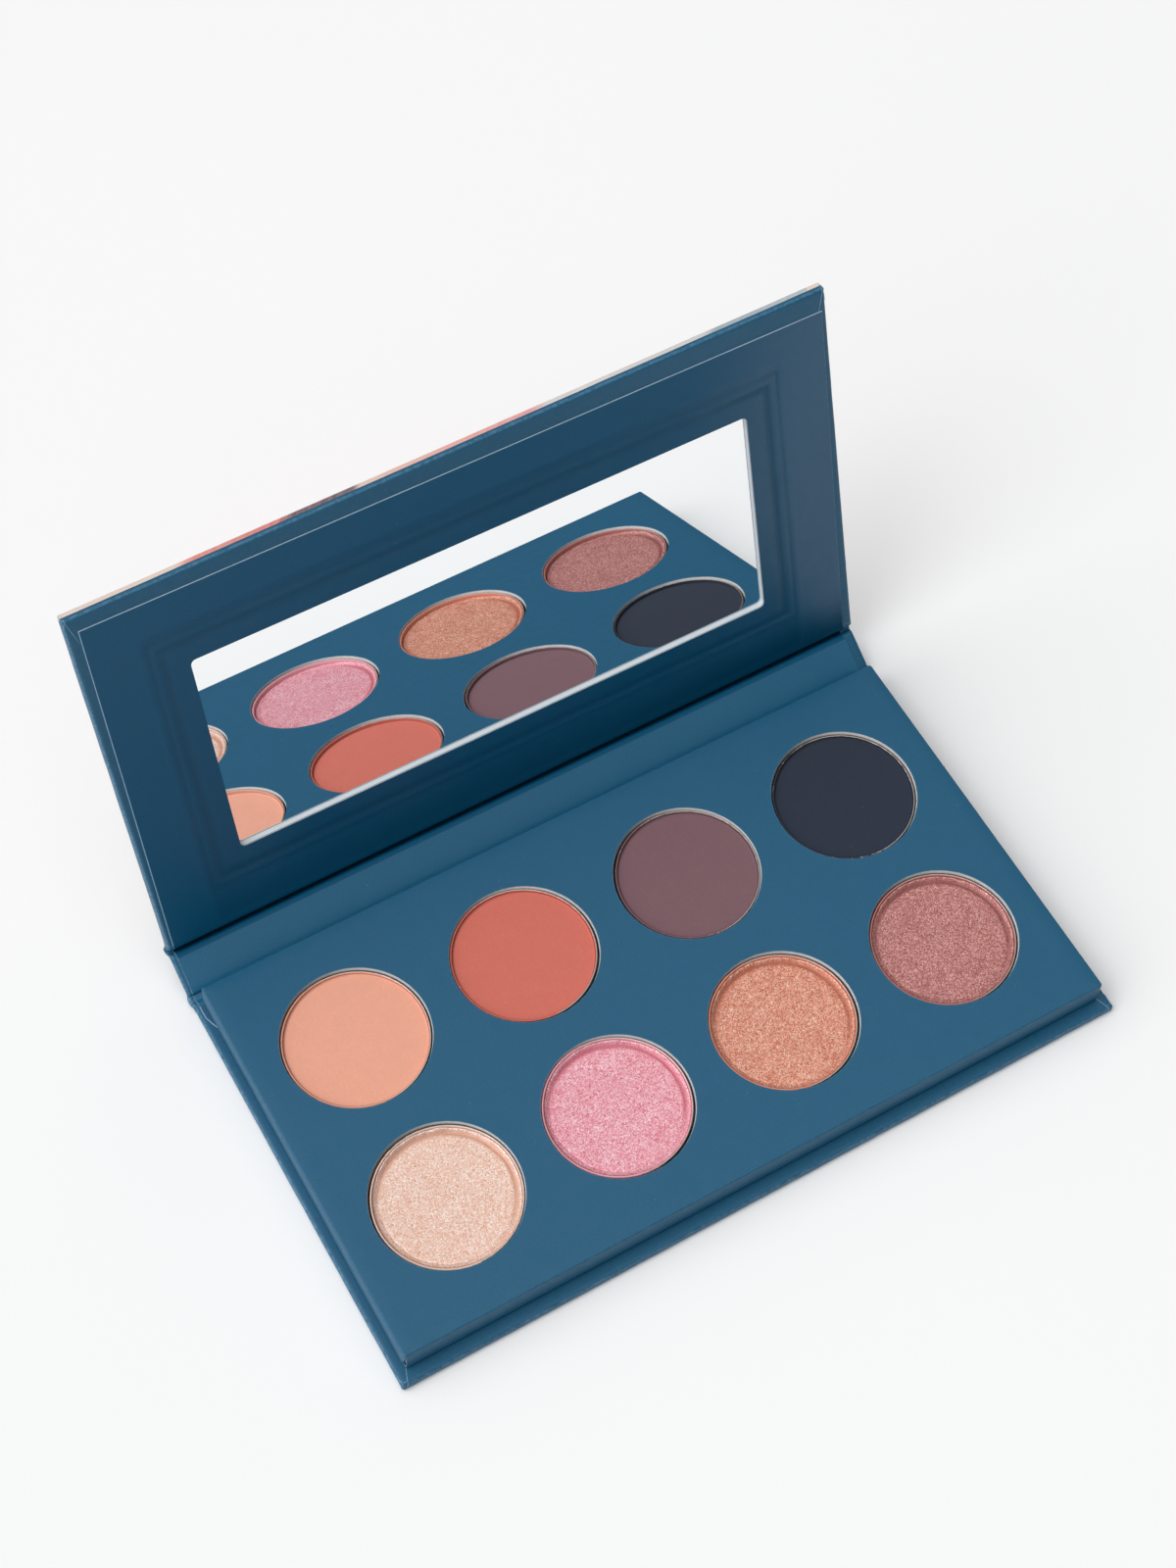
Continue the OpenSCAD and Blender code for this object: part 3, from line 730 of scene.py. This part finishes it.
def ghost(u, v):
    """Relief of what lies under the lid's liner: the folded-over paper and the mirror's recess."""
    half, top = COVER_W / 2, COVER_D
    fold = min(half - abs(u), top - v) - TURN_IN
    chamfer = ((half - abs(u)) + (top - v)) / sqrt(2) - 13.2
    edge = min(fold, chamfer) if u > 0 or v < 60 else fold
    z = -0.06 * ease((edge + 0.35) / 0.9) + 0.05 * ridge(edge + 0.35, 0.35)
    out = -min(window_sides(u, v))
    if out > 0:
        z -= 0.12 * ridge(out - 4.5, 0.7)
        z -= 0.055 * ridge(out - 6.6, 0.5) * (1 if u < 0 or v > WINDOW_HIGH else 0.6)
        z += 0.04 * ridge(out - 5.6, 0.45)
    return z + 0.02 * wave(u, v, 2.0, 11.0)


def grid_lines(values, marks):
    """The marks, and the values that keep clear of them, in order."""
    return sorted(set(marks) | {v for v in values if all(abs(v - m) > 0.2 for m in marks)})


def lid_liner():
    corner = [0, 0.076, 0.293, 0.617, 1]
    us = grid_lines([round(x, 4) for x in ticks(-LINER_X + 0.7, LINER_X - 0.7, 0.7)]
                    + [round(s * (LINER_X - e), 4) for s in (-1, 1) for e in EDGE_COLUMNS],
                    [round(s * (WINDOW_X - c), 4) for s in (-1, 1) for c in corner])
    vs = grid_lines([round(v, 4) for v in ticks(LEAF_START, LINER_END - 0.5, 0.7)]
                    + [LINER_END - e for e in EDGE_COLUMNS],
                    [round(v, 4) for c in corner for v in (WINDOW_LOW + c, WINDOW_HIGH - c)])
    face = LID_STACK + LINER
    rows, open_at, uvs, wear, fold, dull = [], [], [], [], [], []
    for v in vs:
        row = []
        for u in us:
            x = u + SKEW * (v - WINDOW_MID) + 0.005 * (v - WINDOW_MID) * ease((abs(u) - 56) / 12)
            y = v - SKEW * u * ease((v - 8) / 7)
            z = face + ghost(u, v) * ease((v - LEAF_START) / 1.5)
            row.append((x, y, z))
            uvs.append((u, v))
            open_at.append(window_depth(u, v) > 1e-3)
            pale = min(LINER_X + u, LINER_END - v) < CORE
            wear.append(1.0 if pale else 0.22 if LINER_X - u < CORE else 0.0)
            # painted shade: darker in the dips of the relief, and towards the lid's foot by the crease,
            # more so at the right
            fold.append(0.3 * ridge(z - face + 0.16, 0.1)
                        + (0.24 + 0.24 * u / LINER_X) * ease((15 - v) / 13) ** 1.5)
            dull.append(0.33 - 0.33 * ease((u - 30 + 0.25 * (WINDOW_MID - v)) / 38) - 0.04 * ease(-u / 60))
        rows.append(row)
    verts, faces = lattice(rows)
    # a cell with one corner in the window gives a triangle
    faces = [tuple(c for c in face if not open_at[c]) for face in faces]
    piece("lid_liner_paper", verts, [face for face in faces if len(face) > 2], [M_LINER, M_CUT], LID, "lid",
          slot="liner_paper", stands_for=["lid_liner"], uv=uvs, thickness=LINER, toward=(0, 0, 1),
          layers={"wear": wear, "fold": fold, "dull": dull})


def window_line():
    """A grey-blue band in the cut edge of the window, between the two papers: painted shade of the step
    there.
    """
    a, b = WINDOW_X - 0.015, (WINDOW_HIGH - WINDOW_LOW) / 2 - 0.015
    corner = arc(a - 1, b - 1, 1, 0, 90, 6)
    loop = [(sx * x, sy * y) for sx, sy in ((1, 1), (-1, 1), (-1, -1), (1, -1))
            for x, y in corner[::sx * sy]]
    verts = [(x, WINDOW_MID + y, z) for z in (2.2, 2.33) for x, y in loop]
    count = len(loop)
    faces = [(k, (k + 1) % count, count + (k + 1) % count, count + k) for k in range(count)]
    turn = Matrix.Translation((0, WINDOW_MID, 0)) @ Matrix.Rotation(-atan(SKEW), 4, "Z")
    piece("window_shadow_line", verts, faces, [M_LINE], LID @ turn @ Matrix.Translation((0, -WINDOW_MID, 0)),
          body="lid", slot="liner_paper")


def liner(name, rows, uv, layers, look=M_LINER, toward=(0, 0, 1), **how):
    piece(name, *lattice(rows), [look, M_CUT], slot="liner_paper", uv=uv, layers=layers, thickness=LINER,
          toward=toward, **how)


def leaf_liner(body, matrix, look, rows, place, share):
    """The liner on the base or the spine. place gives each y its place along the paper."""
    liner(body + "_liner_paper", rows, [(x, place(y)) for row in rows for x, y, z in row],
          {"wear": pale_edges(rows, share)}, look, matrix=matrix, body=body, stands_for=[body + "_liner"])


def crease_liner(name, crease, shift, dark, foot):
    """The liner over a crease. dark is its shadow in the valley and foot the one at the second leaf."""
    *leaves, valley, bend = crease
    line = valley_curve(*leaves, valley)
    right = valley_curve(*leaves, RIGHT_VALLEY)
    middle, xs = len(line) // 2, across(shift)
    rows, uvs, fold, dull, run = [], [], [], [], 0.0
    for k, point in enumerate(line):
        run += dist(point, line[k - 1]) if k else 0.0
        rows.append([(x, *mixed(right[k], point, inward(x))) for x in xs])
        uvs += [(x, run) for x in xs]
        fold += [max(dark * ease(1.35 - abs(k - middle) / 6), foot * (1 + x / LINER_X) * (k > middle))
                 for x in xs]
        dull += [0.45 * (foot > 0) * (ease((k + 0.6) / 1.5) if k < middle else 1.0)] * len(xs)
    liner(name, rows, uvs, {"wear": pale_edges(rows, CREASE_WEAR), "fold": fold, "dull": dull},
          M_LINER if foot else M_LIT_SPINE_LINER, way(leaves[0], 0, 1) + way(leaves[1], 0, 1), bend=bend, crease=60)


def spine_liner_z(x, y):
    inside = (abs(y - SPINE_LEN / 2) - SPINE_LEN / 2 + LEAF_START) / -0.8
    return SPINE_STACK + LINER - 0.02 * abs(wave(x, y, 7.0, 12.0)) * ease(inside)


TUCK_X, TUCK_FROM, TUCK_TO = 68.8, 5.1, 10.5


def base_half(y):
    """Half width of the base's liner, which narrows to tuck under the tray."""
    return LINER_X + (TUCK_X - LINER_X) * min(max((y - TUCK_FROM) / (TUCK_TO - TUCK_FROM), 0), 1)


LOW_SHIFT = -0.015 * (WINDOW_MID - 2)        # the liner is laid a little askew and runs off to the left
LOWEST_SHIFT = LOW_SHIFT - 0.2
CREASE_WEAR = 0.4
lid_liner()
window_line()
leaf_liner("spine", SPINE, M_LIT_SPINE_LINER,
           [[(x, y, spine_liner_z(x, y)) for x in across(LOW_SHIFT - 0.2 * (1 - y / SPINE_LEN))]
            for y in ticks(LEAF_START, SPINE_LEN - LEAF_START, 0.8)], lambda y: -12 + y, CREASE_WEAR)
crease_liner("lid_crease_liner", LID_CREASE, LOW_SHIFT, 1.0, 0.24)
crease_liner("base_crease_liner", BASE_CREASE, LOWEST_SHIFT, 0.0, 0)
leaf_liner("base", BASE, M_LINER,
           [[(x, y, BASE_STACK + LINER) for x in across(LOWEST_SHIFT * ease((12 - y) / 8), base_half(y))]
            for y in [LEAF_START, 3.0, 4.0, 5.1, 6.2, 7.3, 8.4, 9.5, 10.5] + ticks(14, 77.9, 4)],
           lambda y: -16 - y, 1.0)


# ---- tray
HOLES = [((k % 4 - 1.5) * PITCH, (0.5 - k // 4) * PITCH) for k in range(8)]
SLIT_TOP, SLIT_END = 7, 14              # samples of the tray's profile between which its corner is open
FRONT_LEFT, SLIT_AT = (-1, -1), 225     # the corner and where its slit is, in degrees
CORNER_STEP = 11.25
APART = 200                             # keeps the grain of the tray's paper apart from the cover's


def tray_profile():
    """Samples (inset, z, arc length) from the tray's top edge down its wall and under it."""
    line = arc(TRAY_EDGE, TRAY_TOP - TRAY_EDGE, TRAY_EDGE, 90, 180, 5)
    line += [(0.0, TRAY_TOP - TRAY_EDGE - (TRAY_TOP - TRAY_EDGE - TRAY_Z - TRAY_FOOT) * f)
             for f in (0.06, 0.13, 0.22, 0.33, 0.45, 0.57, 0.69, 0.8, 0.9, 1.0)]
    line += arc(TRAY_FOOT, TRAY_Z + TRAY_FOOT, TRAY_FOOT, 180, 270, 3)[1:]
    return with_run(line + [(inset, TRAY_Z) for inset in (1.1, 2.0, 4.0, 8.0)])


def tray_place(corner, sx, sy, value, inset):
    """(x, y) of a station at an inset from the tray's edge."""
    if corner and inset <= TRAY_CORNER:
        centre = sx * (TRAY_X - TRAY_CORNER), sy * (TRAY_Y - TRAY_CORNER)
        return around(centre, TRAY_CORNER - inset, radians(value))
    if corner:
        return sx * (TRAY_X - inset), sy * (TRAY_Y - inset)
    limit = (TRAY_Y if sx else TRAY_X) - max(inset, TRAY_CORNER)
    along = max(-limit, min(limit, value))
    return (sx * (TRAY_X - inset), along) if sx else (along, sy * (TRAY_Y - inset))


def tray_stations():
    """Stations round the tray: (at a corner, two signs of the side or corner, place or degrees)."""
    found = []
    for sx, sy, corner, start in ((0, -1, (1, -1), 270), (1, 0, (1, 1), 0),
                                  (0, 1, (-1, 1), 90), (-1, 0, FRONT_LEFT, 180)):
        end = ((TRAY_Y if sx else TRAY_X) - TRAY_CORNER) * (sx - sy)
        found += [(False, sx, sy, v) for v in ticks(-end, end, 2.2 * (sx - sy))]
        found += [(True, *corner, start + CORNER_STEP * k) for k in range(1, 8)]
    return found


def hole_r(k, a):
    """Radius of the cut in the paper over hole k, with a slightly ragged edge."""
    return HOLE_R - abs(0.01 * ring_wave(a, 6, k)) - 0.03 * max(0.0, ring_wave(a, 22, k + 40) - 0.3)


def at_slit(station):
    corner, sx, sy, value = station
    return corner and (sx, sy) == FRONT_LEFT and abs(value - SLIT_AT) < CORNER_STEP + 0.05


def tray_wrap():
    """The tray's paper, with eight punched holes and the open upright seam at its front left corner."""
    stations, profile = tray_stations(), tray_profile()
    rows, uvs, wear = [], [], []
    for corner, sx, sy, value in stations:
        row = []
        for k, (inset, z, run) in enumerate(profile):
            x, y = tray_place(corner, sx, sy, value, inset)
            if not corner:
                f = (z - TRAY_Z) / (TRAY_TOP - TRAY_EDGE - TRAY_Z)
                bow = 0.05 * abs(wave(x, y, z / 9, 11.0)) if 6 < k < 15 else 0.0
                bow -= 0.13 * sin(pi * f) if 5 < k < 15 else 0.0
                x, y = x - sx * bow, y - sy * bow
            elif (sx, sy) == FRONT_LEFT and SLIT_TOP <= k <= SLIT_END:
                # the two flaps part around the slit and curl a little
                t = (k - SLIT_TOP) / (SLIT_END - SLIT_TOP)
                open_half = 0.4 * sin(pi * t) ** 0.7 - 0.06
                off = (value - SLIT_AT) / CORNER_STEP
                if abs(abs(off) - 1) < 0.01:
                    x, y = around((x, y), open_half * off * 0.6, radians(value + 90))
            row.append((x, y, z))
            ux, uy = tray_place(corner, sx, sy, value, profile[0][0] - run)
            uvs.append((ux, uy + APART))
            wear.append((0.05 if 1 <= k <= 4 else 0.0) + (0.06 if corner and k < 14 else 0))
        rows.append(row)
    verts, faces = lattice(rows + [rows[0]])
    verts = verts[:-len(profile)]
    faces = [tuple(c % len(verts) for c in face) for face in faces]
    per = len(profile) - 1
    faces = [face for index, face in enumerate(faces) if not (
        SLIT_TOP <= index % per < SLIT_END and at_slit(stations[index // per])
        and at_slit(stations[(index // per + 1) % len(stations)]))]

    def open_at(x, y):
        return all(dist((x, y), hole) >= hole_r(k, atan2(y - hole[1], x - hole[0])) - 0.002
                   for k, hole in enumerate(HOLES))

    cuts = [[around(hole, hole_r(k, a), a) for a in turns(HOLE_SIDES)] for k, hole in enumerate(HOLES)]
    inner = [(x, y) for x in ticks(-67, 67, 2.8) for y in ticks(-36, 36, 2.8)
             if all(dist((x, y), hole) > HOLE_R + 0.9 for hole in HOLES)]
    for hole in HOLES:
        inner += circle(hole, HOLE_R + 0.12, HOLE_SIDES) + circle(hole, HOLE_R + 0.4, 96)

    def level(x, y):
        near = min(TRAY_X - abs(x), TRAY_Y - abs(y)) / 4
        lip = min(dist((x, y), hole) for hole in HOLES) - HOLE_R
        dent = 0.03 * abs(wave(x, y, 4.0, 16.0)) * ease(near - 0.3) * ease(lip / 3)
        return TRAY_TOP - dent, 0.3 * ridge(lip, 0.07)

    close_face(verts, faces, uvs, wear, [[row[0] for row in rows]] + cuts, inner, open_at, level, APART)
    piece("tray_wrap_paper", verts, faces, [M_WRAP, M_CUT], body="base", slot="wrap_paper",
          stands_for=["tray_wrap"], uv=uvs, layers={"wear": wear}, thickness=WRAP - 0.005, weld=0.002)


def corner_flap():
    """The inner flap that shows through the slit, near black: painted shade of the hollow behind it."""
    centre, r = (-TRAY_X + TRAY_CORNER, -TRAY_Y + TRAY_CORNER), TRAY_CORNER - 0.075
    rows = [[(*around(centre, r, radians(a)), z) for a in ticks(190, 260, 10)]
            for z in ticks(3.0, 7.1, 0.6)]
    piece("tray_corner_flap_shadowed", *lattice(rows), [M_SHADOW] * 2, body="base", slot="wrap_paper",
          uv=[(v[0] * 3, v[2]) for row in rows for v in row], thickness=0.06, toward=(-1, -1, 0))


tray_wrap()
corner_flap()


# ---- pans and powder
def lathe(profile, segments, centre, bend):
    """Points and faces of a profile (r, z) turned about an upright line. r 0 gives one shared point.
    bend moves a point (r, z) at an angle."""
    verts, faces, rings = [], [], []
    for r, z in profile:
        if r < 1e-6:
            rings.append([len(verts)] * segments)
            verts.append((*centre, z))
            continue
        rings.append([len(verts) + s for s in range(segments)])
        for a in turns(segments):
            rr, zz = bend(r, z, a)
            verts.append((*around(centre, rr, a), zz))
    for low, high in zip(rings, rings[1:]):
        for s in range(segments):
            t = (s + 1) % segments
            corners = tuple(dict.fromkeys((low[s], low[t], high[t], high[s])))
            if len(corners) > 2:
                faces.append(corners)
    return verts, faces


POWDERS = {         # colour of a matte shade; colour, base and glint of a shimmer
    "peach": ["eba890"], "brick": ["d17264"], "plum": ["7d5e65"], "midnight": ["313745"],
    "cream": ["f2d2c2", "dea286", "fcf2ec"], "pink": ["f7b0bc", "d66a7c", "fce0e8"],
    "copper": ["ea987f", "b86248", "fad4be"], "mauve": ["c47c76", "92504e", "ecb8b2"],
}
# depth of a cake's face, sides, steps of its rings and of its edge, height and width of its bead, height of
# its grain, widths of its darker rim (painted shade on the side away from the bead) and of the shade on it;
# for a matte shade and for a shimmer
CAKES = ((0.62, 200, 0.5, 0.12, 0.05, 0.22, 0.009, 0.35, 0.42),
         (0.8, 288, 0.28, 0.1, 0.16, 0.5, 0.016, 0.55, 0.6))
BEAD_TURN = radians(50)    # where a cake's bead stands highest
SHADE_TURN = radians(185)  # where the hole's edge keeps the light off


def turned(a, turn):
    """1 on the side of a hole that faces turn, 0 on the other."""
    return ease(0.5 + 0.8 * cos(a - turn))


def angle_of(vert, centre):
    return atan2(vert[1] - centre[1], vert[0] - centre[0])


def punched_edge(index, shade):
    """The pale cut edge of a hole, leaning in where the punch went through the board."""
    def rough(r, z, a):
        return r + 0.02 * ring_wave(a, 9, index + z), z

    profile = [(HOLE_R + 0.02, TRAY_TOP - 0.1), (HOLE_R - 0.05, TRAY_TOP - 0.2),
               (HOLE_R - PUNCH * 0.6, TRAY_TOP - 0.45), (HOLE_R - PUNCH, TRAY_TOP - 0.75)]
    verts, faces = lathe(profile, HOLE_SIDES, HOLES[index], rough)
    piece("punched_edge_" + shade, verts, faces, [M_PUNCHED], body="base", slot="greyboard",
          layers={"shade": [0.65 * turned(angle_of(v, HOLES[index]), SHADE_TURN) for v in verts]})


def pan_and_powder(index, shade):
    look = [srgb(colour) for colour in POWDERS[shade]]
    shimmer = len(look) > 1
    depth, sides, step, edge_step, bead_r, bead_w, amp, shaded_rim_w, shade_w = CAKES[shimmer]
    centre = tuple(at + seat * PAN_GAP for at, seat in zip(HOLES[index], SEAT[index]))
    top, floor, inner_r = PAN_Z + PAN_H, PAN_Z + PAN_WALL, PAN_R - PAN_WALL
    face = top - depth
    # the pan: from the middle of its floor, out, up, over the rim and down inside
    profile = [(0.0, PAN_Z), (6.0, PAN_Z)]
    profile += arc(PAN_R - PAN_CORNER, PAN_Z + PAN_CORNER, PAN_CORNER, -90, 0, 5)
    profile += [(PAN_R, PAN_Z + 2.6)] + arc(PAN_R - 0.15, top - 0.15, 0.15, 0, 180, 8)
    profile += [(inner_r, top - down) for down in (0.3, 0.45, 0.6, 0.9, PAN_H - PAN_CORNER - 0.4)]
    profile += [(inner_r - 0.3, floor + 0.15), (inner_r - 0.8, floor), (0.0, floor)]

    def dent(r, z, a):
        push = abs(0.02 * ring_wave(a, 3, index + z / 6))
        return r - push * (r > inner_r - 0.05), z - 0.3 * push * (z > top - 0.5)

    verts, faces = lathe(profile, PAN_SIDES, centre, dent)
    punched_edge(index, shade)
    # powder on the inner wall; on the rim's side away from the light a dull powder tone, as painted shade
    dust_and_shade = [max(ease((inner_r + 0.13 - dist(v[:2], centre)) / 0.1),
                0.8 * turned(angle_of(v, centre), SHADE_TURN)) for v in verts]
    tin = metal("tinplate_" + shade, srgb("c0bcb8"), 0.3, scaled(look[0], 0.9))
    piece("tin_pan_" + shade, verts, faces, [tin], body="base", slot="tinplate",
          stands_for=["pan_" + shade], layers={"dust_and_shade": dust_and_shade})

    # the cake: fine rings to its edge, where it is pressed up into a bead against the wall
    rings = ticks(0.5, inner_r - 1.3, step)
    edge = ticks(inner_r - 1.3, inner_r - 0.02, edge_step)
    seed = index * 11.3

    def level(r, a):
        x, y = r * cos(a), r * sin(a)
        z = face + amp * wave(x, y, seed, 0.34) + 1.6 * amp * wave(x, y, seed + 5, 2.2)
        gap = inner_r - r
        ragged = 1 + 0.55 * ring_wave(a, 9, seed)
        far = turned(a, BEAD_TURN)
        z += bead_r * (0.5 + 3.4 * far) * ragged * ridge(gap - bead_w * 0.55, bead_w * 0.6)
        if shimmer:
            groove = 1.05 + 0.2 * ring_wave(a, 2.5, seed + 9)
            z -= 0.1 * ridge(gap - groove, 0.2)
        return z - 0.12 * (1 - far) * ridge(gap, 0.07)

    def cake(r, z, a):
        return (r, level(r, a)) if z > face - 0.01 else (r, z)

    profile = [(0.0, floor + 0.02), (inner_r - 0.9, floor + 0.02),
               (inner_r - 0.02, PAN_Z + PAN_CORNER + 0.1), (inner_r - 0.02, face - 0.5)]
    profile += [(r, face) for r in edge[::-1] + rings[-2::-1] + [0.0]]
    verts, faces = lathe(profile, sides, centre, cake)
    edges, shades, lit = [], [], []
    for v in verts:
        gap, a = inner_r - dist(v[:2], centre), angle_of(v, centre)
        far = turned(a, BEAD_TURN)
        # edge darkens a deeper ring, strongest on the bead's side, and paints shade on the rim away from
        # the bead
        # shade is painted shade where the hole's edge keeps the light off; lit is a painted highlight on
        # the bead
        ring = ridge(gap - 0.92, 0.55) * (0.15 + 0.85 * far) if shimmer else 0.0
        edges.append(max(ring, ease(1 - gap / shaded_rim_w) * (1 - far)))
        shades.append(turned(a, SHADE_TURN) * ease(1.2 - gap / shade_w))
        lit.append(far * ridge(gap - 0.28, 0.36))
    make = shimmer_powder if shimmer else matte_powder
    piece("powder_cake_" + shade, verts, faces, [make("powder_look_" + shade, *look)], body="base",
          slot="powder_" + shade, stands_for=["powder_" + shade],
          layers={"edge": edges, "shade": shades, "lit": lit}, crease=70)


for index, shade in enumerate(POWDERS):
    pan_and_powder(index, shade)


# ---- CAD nodes that stay
def dress(material, *names):
    for name in names:
        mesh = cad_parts[name].data
        mesh.materials.clear()
        mesh.materials.append(material)


dress(M_BOARD, "base_board", "tray_floor", "tray_core", "spine_board", "lid_board", "mirror_surround")
dress(M_WHITE_CARD, "window_frame")
dress(M_MAGNET, "tray_magnets", "lid_magnets")

# The mirror is one look, silver under a clear coat of glass, so that no light is lost between the two.
for name, node, size, low, high, bump, haze, sockets in (
        ("hot_melt_glue_look", "pan_glue_dots", (0.8,), srgb("e2d6b2"), srgb("f0e8ce"), (0.1, 0.4), None,
         {"Roughness": 0.35, "Specular_IOR_Level": 0.5}),
        ("tape_look", "mirror_tape", (0.6, 3, 0.7), srgb("ceba8c"), srgb("decca4"), (0.05, 0.5), None,
         {"Roughness": 0.6}),
        ("mirror_glass_look", "mirror_glass", (22, 3, 0.6, 0.5), (0.955, 0.975, 0.985, 1),
         (0.975, 0.99, 0.995, 1), None, (0.55, 0.85, 0.0, 0.02),
         {"Metallic": 1.0, "Coat_Weight": 1.0, "Coat_Roughness": 0.0, "Coat_IOR": 1.5}),
        ("mirror_silver_look", "mirror_silvering", (30,), (0.86, 0.89, 0.9, 1), (0.9, 0.92, 0.925, 1), None,
         (0.4, 0.8, 0.0, 0.015), {"Metallic": 1.0})):
    look = Nodes(name, **sockets)
    grain = look.noise(*size)
    if bump:
        look.to(Base_Color=look.mix(look.span(grain, 0.3, 0.7), low, high), Normal=look.bump(grain, *bump))
    else:
        look.to(Base_Color=look.mix(grain, low, high), Roughness=look.span(grain, *haze))
    dress(look.material, node)

# ---- floor, light, camera
floor_look = Nodes("floor_look", Roughness=0.8, Specular_IOR_Level=0.2)
floor_look.to(Base_Color=floor_look.mix(floor_look.noise(260), (0.9, 0.902, 0.905, 1),
                                        (0.925, 0.926, 0.929, 1)))
bpy.ops.mesh.primitive_plane_add(size=8, location=(0, 0, -0.0001))
floor = bpy.context.object
floor.name = "floor"
floor.data.materials.append(floor_look.material)

world = bpy.data.worlds.new("studio")
scene.world = world
world.use_nodes = True
sky = world.node_tree


def sky_maths(operation, a, b, c=0.0):
    return add_node(sky, "Math", {0: a, 1: b, 2: c}, operation=operation)


# soft boxes round the set: (direction, strength); what the camera sees is plain white
SOFT_BOXES = [((-0.72, 0.0, 0.69), 0.66), ((-0.5, 0.5, 0.7), 0.94), ((0.0, 0.0, 1.0), 1.68),
              ((0.0, -0.72, 0.69), 0.47), ((0.35, 0.6, 0.72), 0.47), ((-0.94, 0.0, 0.34), 2.0)]
LOBE, BASE_GLOW, SEEN = 8.0, 0.04, 0.96     # how narrow a glow is, light all round, white that is seen
ray = add_node(sky, "TexCoord", out="Generated")
glow = BASE_GLOW
for direction, strength in SOFT_BOXES:
    near = add_node(sky, "VectorMath", {0: ray, 1: Vector(direction).normalized()}, "Value",
                    operation="DOT_PRODUCT")
    near = sky_maths("POWER", sky_maths("MAXIMUM", near, 0.0), LOBE)
    glow = sky_maths("MULTIPLY_ADD", near, strength, glow)
path = add_node(sky, "LightPath").node.outputs
seen = sky_maths("MAXIMUM", path["Is Camera Ray"], path["Is Transmission Ray"])
level = add_node(sky, "Mix", {"Factor": seen, 2: glow, 3: SEEN}, data_type="FLOAT")
set_inputs(sky, sky.nodes["Background"], {"Strength": level, "Color": (1.0, 1.0, 1.0, 1)})

key_data = bpy.data.lights.new("key", "AREA")
key_data.shape = "DISK"
key_data.size, key_data.energy = 1.8, 27.0
key = bpy.data.objects.new("key", key_data)
key.location = (-2.0, 0.0, 3.3)
key.rotation_euler = (-key.location).to_track_quat("-Z", "Y").to_euler()
scene.collection.objects.link(key)

camera_data = bpy.data.cameras.new("camera")
camera = bpy.data.objects.new("camera", camera_data)
scene.collection.objects.link(camera)
VIEW = Vector((0.28475, 0.45816, -0.84202)).normalized()
RIGHT = Vector((0.867865, -0.496245, 0.023471)).normalized()
UP = RIGHT.cross(VIEW).normalized()
turn = Matrix((RIGHT, UP, -VIEW)).transposed().to_4x4()
camera.matrix_world = Matrix.Translation((-0.13388, -0.19607, 0.48638)) @ turn
camera_data.lens = 68.90
camera_data.sensor_width = 36.0
camera_data.shift_x, camera_data.shift_y = -0.01428, -0.08283
camera_data.clip_start, camera_data.clip_end = 0.01, 30.0
scene.camera = camera

scene.view_settings.view_transform = "Standard"

bpy.context.view_layer.update()
